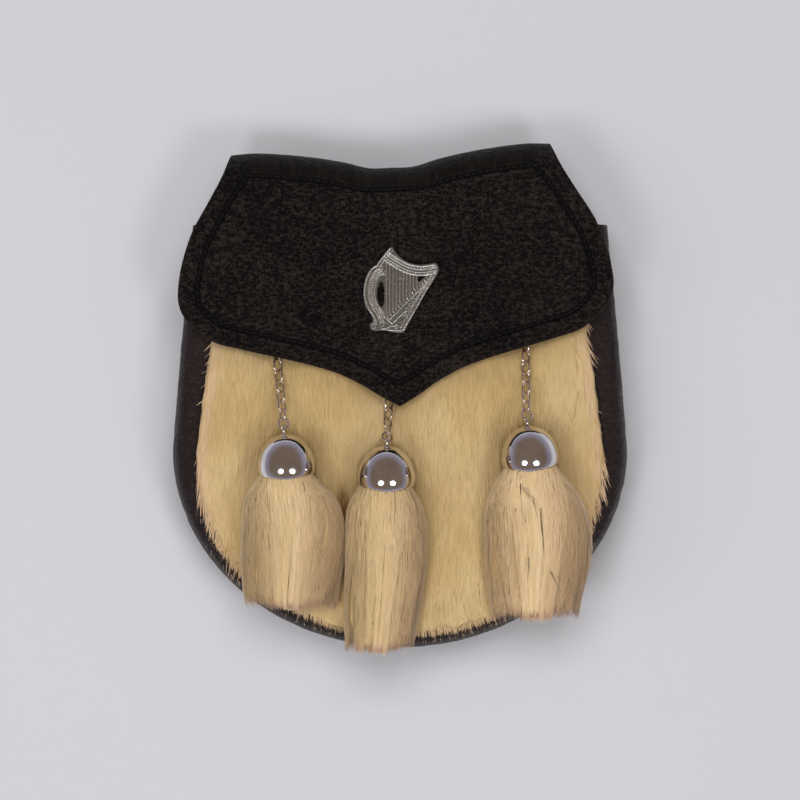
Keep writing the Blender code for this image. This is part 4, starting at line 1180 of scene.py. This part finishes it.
def make_tassel(side, index):
    shape = tassel_shape(side)
    levels, centres, radii = shape
    rows, columns = radii.shape
    angles = np.arange(columns) / columns * math.tau
    share = np.linspace(0.0, 1.0, rows)
    for angle, start, end, wide, depth in CREASES[side]:
        strength = ramp(share, start, start + 0.2) * np.clip((end - share) / 0.1 + 0.3, 0, 1)
        radii *= 1.0 - depth * strength[:, None] * np.exp(-(((angles - angle) / wide) ** 2))[None, :]
    tassel_core(side, shape)
    span = levels[0] - levels[-1]
    draw = np.random.default_rng(40 + index)
    count = 14200
    start = draw.uniform(0.0, 0.93, count) ** 0.9
    angle = draw.uniform(0.0, math.tau, count)
    locks = 17
    number = np.round(angle / math.tau * locks + 0.25 * np.sin(start * 5.0 + index))
    lock = number / locks * math.tau
    own = draw.uniform(-1.0, 1.0, (locks, 3))[number.astype(int) % locks]
    reach = draw.uniform(9.0, 16.0, count) * MM / span
    limit = 0.99 + 0.028 * own[:, 0] - 0.085 * draw.uniform(0.0, 1.0, count) ** 2
    end = np.minimum(start + reach, limit)
    start = np.minimum(start, end - 6.0 * MM / span)
    fill = draw.uniform(size=count) < 0.17
    pull = np.sqrt(draw.uniform(0.01, 0.96, count))[:, None, None]
    end = np.where(fill, draw.uniform(0.93, 1.01, count) - 0.03 * pull[:, 0, 0] ** 2, end)
    start = np.where(fill, end - draw.uniform(0.08, 0.13, count), start)
    t = np.linspace(0.0, 1.0, 3)[None, :]
    along = start[:, None] + (end - start)[:, None] * t
    turn = angle[:, None] + (lock - angle)[:, None] * 0.22 * np.clip(along - 0.2, 0, 1) * t
    turn = turn + 0.03 * np.sin(along * 6.0 + own[:, 1:2] * 3.0)
    turn = turn + draw.normal(scale=0.02, size=(count, 1)) * t
    deep = draw.uniform(0.0, 1.0, (count, 1)) ** 2
    hover = (0.35 - 0.8 * deep) * MM * np.clip(t * 3.0 + 0.2, 0.0, 1.0) - 0.25 * MM * (t < 0.1)
    crease = np.abs(angle - lock)[:, None] * locks / math.tau * 2.0
    hover = hover - 0.35 * MM * crease ** 2 * ramp(along, 0.3, 0.8)
    lines, centre = tassel_point(shape, along, turn, hover)
    lines[fill] = centre[fill] + (lines[fill] - centre[fill]) * pull[fill]
    lines[:, :, 2] = np.maximum(lines[:, :, 2], FUR_BASE + 0.8 * MM)
    ups = lines - centre
    ups[:, :, 1] = 0.0
    tone = np.clip(TASSEL_PAINTED_LIGHT[side] + 0.09 * own[:, 2] + draw.normal(scale=0.09, size=count), 0.0, 2.0)
    tip = ramp(along, 0.94, 1.0)
    # Pinker towards the right side of each tassel, as painted shade of its round body; the tips whiter.
    pale = np.clip(0.22 + 0.14 * np.cos(angle - 0.3), 0, 1)[:, None] * (1 - tip) + tip * 1.7
    # Painted shade in the creases between locks and at the top of each tassel, under its cap.
    shade = 0.22 * ramp(crease, 0.6, 1.0) * ramp(along, 0.3, 0.7)
    shade = shade + 0.18 * np.exp(-((np.minimum(along, 1.0) / 0.10) ** 2))
    widths = draw.uniform(0.24, 0.42, count) * MM
    hairs = strands("tassel_strands_" + side, lines, widths, ups, tone, np.clip(pale, 0, 2), shade)
    if side == "right":
        make_guard_hairs(hairs, draw)


def make_guard_hairs(hairs, draw):
    surface = surface_of(hairs)
    lines = []
    for begin, finish, together in DARK_HAIRS:
        for _ in range(together):
            shift = draw.normal(scale=0.35, size=2)
            bow = draw.normal(scale=0.7)
            line = []
            for step in np.linspace(0.0, 1.0, 9):
                x = (mix(begin[0], finish[0], step) + shift[0] + bow * step * (1 - step)) * MM
                y = (mix(begin[1], finish[1], step) + shift[1] * 2) * MM
                hit = surface.ray_cast(Vector((x, y, HIGH_ABOVE)), -UP)[0]
                line.append((x, y, (hit.z if hit else FUR_BASE) + 0.10 * MM))
            lines.append(line)
    lines = np.array(lines)
    lines[:, 1:-1, 2] = (lines[:, :-2, 2] + lines[:, 1:-1, 2] * 2 + lines[:, 2:, 2]) / 4 + 0.05 * MM
    ups = np.zeros_like(lines)
    ups[:, :, 2] = 1.0
    plain = np.zeros(len(lines))
    strands("tassel_guard_hairs", lines, plain + 0.18 * MM, ups, plain + 0.4, plain, plain + 1.75)


# Badge: places are shares of its half height, from its middle
HARP_MIDDLE = (0.4 * MM, 69.9 * MM)
HARP_HALF = 19.0 * MM
HARP_OUTLINE = (
    (-0.205, 1.0), (-0.082, 0.815), (0.057, 0.685), (0.242, 0.600), (0.472, 0.572), (0.672, 0.597),
    (0.78, 0.615), (0.842, 0.569), (0.869, 0.477), (0.842, 0.369), (0.78, 0.262), (0.626, 0.015),
    (0.349, -0.477), (0.072, -0.969), (0.011, -0.997), (-0.143, -0.985), (-0.405, -0.938), (-0.62, -0.942),
    (-0.682, -0.908), (-0.715, -0.846), (-0.700, -0.769), (-0.640, -0.725), (-0.665, -0.620),
    (-0.735, -0.492), (-0.789, -0.446), (-0.835, -0.308), (-0.866, -0.108), (-0.851, 0.092), (-0.797, 0.308),
    (-0.712, 0.446), (-0.605, 0.523), (-0.528, 0.615), (-0.451, 0.723), (-0.374, 0.831), (-0.297, 0.923),
)
HARP_CORNERS = ((-0.205, 1.0), (0.072, -0.969), (-0.640, -0.725), (-0.735, -0.492))
HARP_HOLES = (
    ((-0.450, 0.180), (-0.393, 0.060), (-0.383, -0.130), (-0.393, -0.310), (-0.450, -0.400),
     (-0.515, -0.300), (-0.545, -0.100), (-0.515, 0.080)),
    ((0.470, 0.385), (0.550, 0.325), (0.480, 0.235), (0.405, 0.190), (0.402, 0.300)),
)
HARP_PILLAR = (
    (-0.52, 0.56), (-0.66, 0.47), (-0.76, 0.30), (-0.82, 0.09), (-0.832, -0.11), (-0.80, -0.30),
    (-0.72, -0.47), (-0.62, -0.62), (-0.56, -0.76),
)
HARP_NECK = (
    (-0.30, 0.88), (-0.21, 0.80), (-0.08, 0.72), (0.07, 0.63), (0.25, 0.555), (0.47, 0.525),
    (0.66, 0.55), (0.78, 0.57),
)
HARP_SHOULDER = ((-0.24, 0.95), (-0.36, 0.80), (-0.47, 0.66), (-0.55, 0.55))
HARP_BOX_TOP = ((-0.33, -0.66), (0.00, -0.33), (0.33, 0.00), (0.62, 0.29))
HARP_BOX_EDGE = ((0.05, -0.93), (0.33, -0.45), (0.60, 0.03), (0.755, 0.30))
HARP_STRINGS = 10
HARP_CURLS = 9
PLATE_TOP = 1.25 * MM
PLATE_ROUND = 0.18 * MM
RELIEF_LOW = 1.0 * MM
RELIEF_HIGH = 1.75 * MM
CAST_UNEVEN = 0.05 * MM
# Rods on the plate: path, how far it is moved sideways, radius in millimetres, and steps and taper
# where they aren't 24 and none
HARP_RODS = (
    (HARP_PILLAR, 0.0, 0.50, 36), (HARP_PILLAR, 0.085, 0.36, 36), (HARP_PILLAR, 0.155, 0.36, 36),
    (HARP_PILLAR, 0.225, 0.44, 36), (HARP_NECK, 0.0, 0.42, 36), (HARP_NECK, -0.075, 0.34, 36),
    (HARP_NECK, -0.140, 0.30, 36), (HARP_NECK, -0.200, 0.42, 36), (HARP_SHOULDER, 0.0, 0.42),
    (HARP_SHOULDER, 0.07, 0.30), (HARP_BOX_EDGE, 0.0, 0.50), (HARP_BOX_EDGE, 0.085, 0.28),
    (HARP_BOX_TOP, -0.075, 0.26),
    (((-0.50, -0.46), (-0.42, -0.58), (-0.30, -0.70), (-0.20, -0.79)), 0.0, 0.34),
    (((-0.20, -0.79), (-0.10, -0.69), (0.0, -0.60), (0.10, -0.50)), 0.0, 0.30),
    (((-0.44, -0.91), (-0.33, -0.90), (-0.24, -0.85), (-0.12, -0.84)), 0.0, 0.40, 24, 0.4),
    (((-0.30, -0.93), (-0.14, -0.945), (-0.02, -0.95), (0.03, -0.93)), 0.0, 0.36),
)
# Scrolls: middle, radius, turns, where they start and which hand
HARP_SCROLLS = (
    ((0.745, 0.465), 0.095, 1.3, 1.6, -1), ((-0.475, 0.50), 0.085, 1.3, 2.6, 1),
    ((-0.40, 0.37), 0.06, 1.2, 1.0, -1), ((-0.615, -0.845), 0.075, 1.3, 0.5, 1),
    ((-0.43, -0.80), 0.07, 1.2, 3.4, -1), ((-0.10, -0.86), 0.055, 1.2, 1.0, 1),
)
# Rows of beads: path, how far it is moved sideways, how many, length, width, slant and lift
HARP_BEADS = (
    (HARP_PILLAR, 0.120, 24, 0.40, 0.36, 0.0, 0.15), (HARP_PILLAR, 0.190, 24, 0.36, 0.30, 0.0, 0.12),
    (HARP_PILLAR, -0.005, 26, 0.34, 0.30, 0.5, 0.35), (HARP_NECK, -0.040, 22, 0.40, 0.34, 0.6, 0.15),
    (HARP_NECK, -0.170, 18, 0.36, 0.28, -0.5, 0.10), (HARP_BOX_TOP, 0.0, 16, 0.95, 0.34, 1.15, 0.12),
    (HARP_BOX_EDGE, 0.05, 20, 0.34, 0.26, 0.0, 0.10),
    (((-0.64, -0.72), (-0.52, -0.70), (-0.40, -0.72), (-0.30, -0.80)), 0.0, 7, 0.40, 0.32, 0.7, 0.0),
)


def shifted(path, amount):
    """A path moved sideways to its left."""
    moved = []
    for index, point in enumerate(path):
        before, after = path[max(0, index - 1)], path[min(len(path) - 1, index + 1)]
        run = Vector((after[0] - before[0], after[1] - before[1])).normalized()
        moved.append((point[0] - run.y * amount, point[1] + run.x * amount))
    return moved


def spiral(centre, radius, turns, start, hand):
    points = []
    for step in range(13):
        angle = start + hand * turns * math.tau * step / 12
        reach = radius * (1 - 0.8 * step / 12)
        points.append((centre[0] + math.cos(angle) * reach, centre[1] + math.sin(angle) * reach))
    return points


def fine_path(path, count):
    return [read_path(path, step / count) for step in range(count + 1)]


def to_mesh(curve):
    piece = new_object(curve.name, curve)
    select_only(piece)
    bpy.ops.object.convert(target="MESH")
    return piece


def make_harp():
    """The cast badge: a bevelled plate with strings, a ribbed pillar and neck and a scrolled sound box."""
    points = node_points("harp_badge")
    centre = points.mean(axis=0)
    normal = Vector(np.linalg.svd(points - centre, full_matrices=False)[2][2])
    if normal.z < 0:
        normal.negate()
    back = min((Vector(point) - Vector(centre)).dot(normal) for point in points)

    def on_badge(x, y, height):
        spot = Vector((HARP_MIDDLE[0] + x * HARP_HALF, HARP_MIDDLE[1] + y * HARP_HALF, 0.0))
        spot.z = centre[2] - ((spot.x - centre[0]) * normal.x + (spot.y - centre[1]) * normal.y) / normal.z
        return spot + normal * (back + height)

    flat = bpy.data.curves.new("plate", "CURVE")
    flat.dimensions = "2D"
    flat.fill_mode = "BOTH"
    flat.extrude = PLATE_TOP / 2 - PLATE_ROUND
    flat.bevel_depth = PLATE_ROUND
    flat.bevel_resolution = 2
    flat.offset = -PLATE_ROUND
    for loop in (HARP_OUTLINE, *HARP_HOLES):
        spline = flat.splines.new("BEZIER")
        spline.bezier_points.add(len(loop) - 1)
        for point, (x, y) in zip(spline.bezier_points, loop):
            point.co = (x * HARP_HALF, y * HARP_HALF, 0.0)
            kind = "VECTOR" if (x, y) in HARP_CORNERS else "AUTO"
            point.handle_left_type = point.handle_right_type = kind
        spline.use_cyclic_u = True
        spline.resolution_u = 5
    plate = to_mesh(flat)
    for vert in plate.data.vertices:
        vert.co = on_badge(vert.co.x / HARP_HALF, vert.co.y / HARP_HALF, vert.co.z + PLATE_TOP / 2)

    rods = bpy.data.curves.new("rods", "CURVE")
    rods.dimensions = "3D"
    rods.bevel_depth = 1.0
    rods.bevel_resolution = 2
    rods.use_fill_caps = True

    def rod(path, radius, count=24, taper=0.0, lift=0.0):
        """A rod along a path on the plate, its radius and lift in millimetres."""
        spline = rods.splines.new("POLY")
        spline.points.add(count)
        for step, (x, y) in enumerate(fine_path(path, count)):
            spline.points[step].co = (*on_badge(x, y, PLATE_TOP + lift * MM), 1.0)
            spline.points[step].radius = radius * MM * (1.0 - taper * step / count)

    for path, aside, radius, *rest in HARP_RODS:
        rod(shifted(path, aside), radius, *rest)
    for step in range(HARP_STRINGS):
        x = mix(-0.34, 0.36, step / (HARP_STRINGS - 1))
        low = mix(-0.63, 0.33, (x + 0.34) / 0.97)
        high = read_curve(shifted(HARP_NECK, -0.20), x) + 0.02
        rod(((x, low), (x + 0.004, (low + high) / 2), (x + 0.004, high)), 0.26, 8, lift=0.04)
    for scroll in HARP_SCROLLS:
        rod(spiral(*scroll), 0.30, 40, 0.3)
    for step in range(HARP_CURLS):
        share = (step + 0.5) / HARP_CURLS
        top = read_path(HARP_BOX_TOP, mix(0.22, 0.97, share))
        edge = read_path(HARP_BOX_EDGE, mix(0.10, 0.93, share))
        middle = (mix(top[0], edge[0], 0.50), mix(top[1], edge[1], 0.50))
        rod(spiral(middle, 0.062, 1.1, 0.8 + step * math.pi, 1 if step % 2 else -1), 0.27, 24, 0.3)
    solid = to_mesh(rods)

    balls = Beads(1.0)
    for path, aside, count, length, width, slant, lift in HARP_BEADS:
        route = fine_path(shifted(path, aside), count * 2)
        route = [on_badge(x, y, PLATE_TOP + lift * MM) for x, y in route]
        for before, place, after in zip(route[0:-1:2], route[1::2], route[2::2]):
            along = Matrix.Rotation(slant, 3, normal) @ (after - before).normalized()
            across = normal.cross(along)
            balls.add(place, along * (length * MM), across * (width * MM), normal * (width * MM))
    select_only(plate, solid, balls.piece("beads"))
    bpy.ops.object.join()
    origin = on_badge(0.0, 0.0, 0.0)
    relief = []
    for vert in plate.data.vertices:
        height = (vert.co - origin).dot(normal)
        relief.append((height - RELIEF_LOW) / (RELIEF_HIGH - RELIEF_LOW))
        if height > 0.4 * MM:
            vert.co += normal * CAST_UNEVEN * noise.noise(vert.co * 900.0)
    set_attribute(plate, "relief", np.clip(relief, 0.0, 1.0))
    return add_piece(plate, "harp_relief", cast_silver, "cast_silver", "harp_badge", angle=50.0)


# Floor, light and camera

VIEW_HEIGHT = 1.55
PIXEL = 0.43668 * MM
PICTURE = 800 * PIXEL
PICTURE_CENTRE_Y = 50 * PIXEL
SUBJECT_Z = 34.0 * MM
SUBJECT_MIDDLE = Vector((0.0, 0.02, 0.03))
SENSOR = 36.0


def add_light(name, place, size, power, colour, mirrored=True):
    """An area lamp aimed at the pouch. Only a mirrored one shows in what is glossy."""
    data = bpy.data.lights.new(name, "AREA")
    data.shape = "ELLIPSE" if mirrored else "RECTANGLE"
    data.size, data.size_y = size
    data.energy = power
    data.color = colour
    light = new_object(name, data)
    light.location = place
    light.visible_glossy = mirrored
    light.rotation_euler = (SUBJECT_MIDDLE - Vector(place)).to_track_quat("-Z", "Y").to_euler()


def make_stage():
    floor = add_primitive(bpy.ops.mesh.primitive_plane_add, size=6.0, location=(0.0, 0.0, -0.0002))
    floor.name = "floor"
    floor.data.materials.append(new_material(
        "floor", Roughness=0.9, Base_Color=(0.66, 0.655, 0.68), Specular_IOR_Level=0.1,
    )[0])
    world = bpy.data.worlds.new("studio")
    world.use_nodes = True
    tree = world.node_tree
    way = tree.nodes.new("ShaderNodeTexCoord").outputs["Generated"]
    height = add_node(tree, "ShaderNodeSeparateXYZ", {"Vector": way}).outputs["Z"]
    overhead = map_range(tree, height, -0.05, 0.55)
    sky = mix_colour(tree, overhead, (0.31, 0.30, 0.40), (0.190, 0.142, 0.110))
    feed(tree, tree.nodes["Background"].inputs["Color"], sky)
    bpy.context.scene.world = world
    add_light("soft box above", (-0.05, 0.55, 1.62), (1.1, 0.8), 14.2, (0.93, 0.97, 1.0), mirrored=False)
    add_light("soft box left", (-1.2, -0.2, 1.1), (0.8, 0.8), 3.4, (0.90, 0.96, 1.0), mirrored=False)
    add_light("lamp one", (-0.46, -0.46, 1.15), (0.40, 0.46), 3.5, (0.92, 0.96, 1.0))
    add_light("lamp two", (0.52, -0.46, 1.10), (0.40, 0.46), 3.7, (0.92, 0.96, 1.0))
    data = bpy.data.cameras.new("camera")
    data.sensor_width = SENSOR
    data.lens = SENSOR * VIEW_HEIGHT / PICTURE
    camera = new_object("camera", data)
    camera.location = (0.0, PICTURE_CENTRE_Y, SUBJECT_Z + VIEW_HEIGHT)
    bpy.context.scene.camera = camera
    bpy.context.scene.view_settings.view_transform = "Standard"


def paint(names, material):
    for name in names:
        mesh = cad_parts[name].data
        mesh.materials.clear()
        mesh.materials.append(material)


make_stage()
gusset = make_gusset()
back = make_back_panel()
loops = [make_belt_loop(side) for side in ("left", "right")]
flap, line = make_flap()
make_stitches(flap, line, back, loops)
for side in SIDES:
    make_dome(side)
for name in sorted(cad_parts):
    if name.startswith("chain_") and "staple" not in name:
        make_link(name)
paint(["front_panel"], brown_leather)
paint(["flap_stud"] + ["chain_staple_" + side for side in SIDES], nickel)
make_harp()
make_front_fur(gusset)
for index, side in enumerate(SIDES):
    make_tassel(side, index)
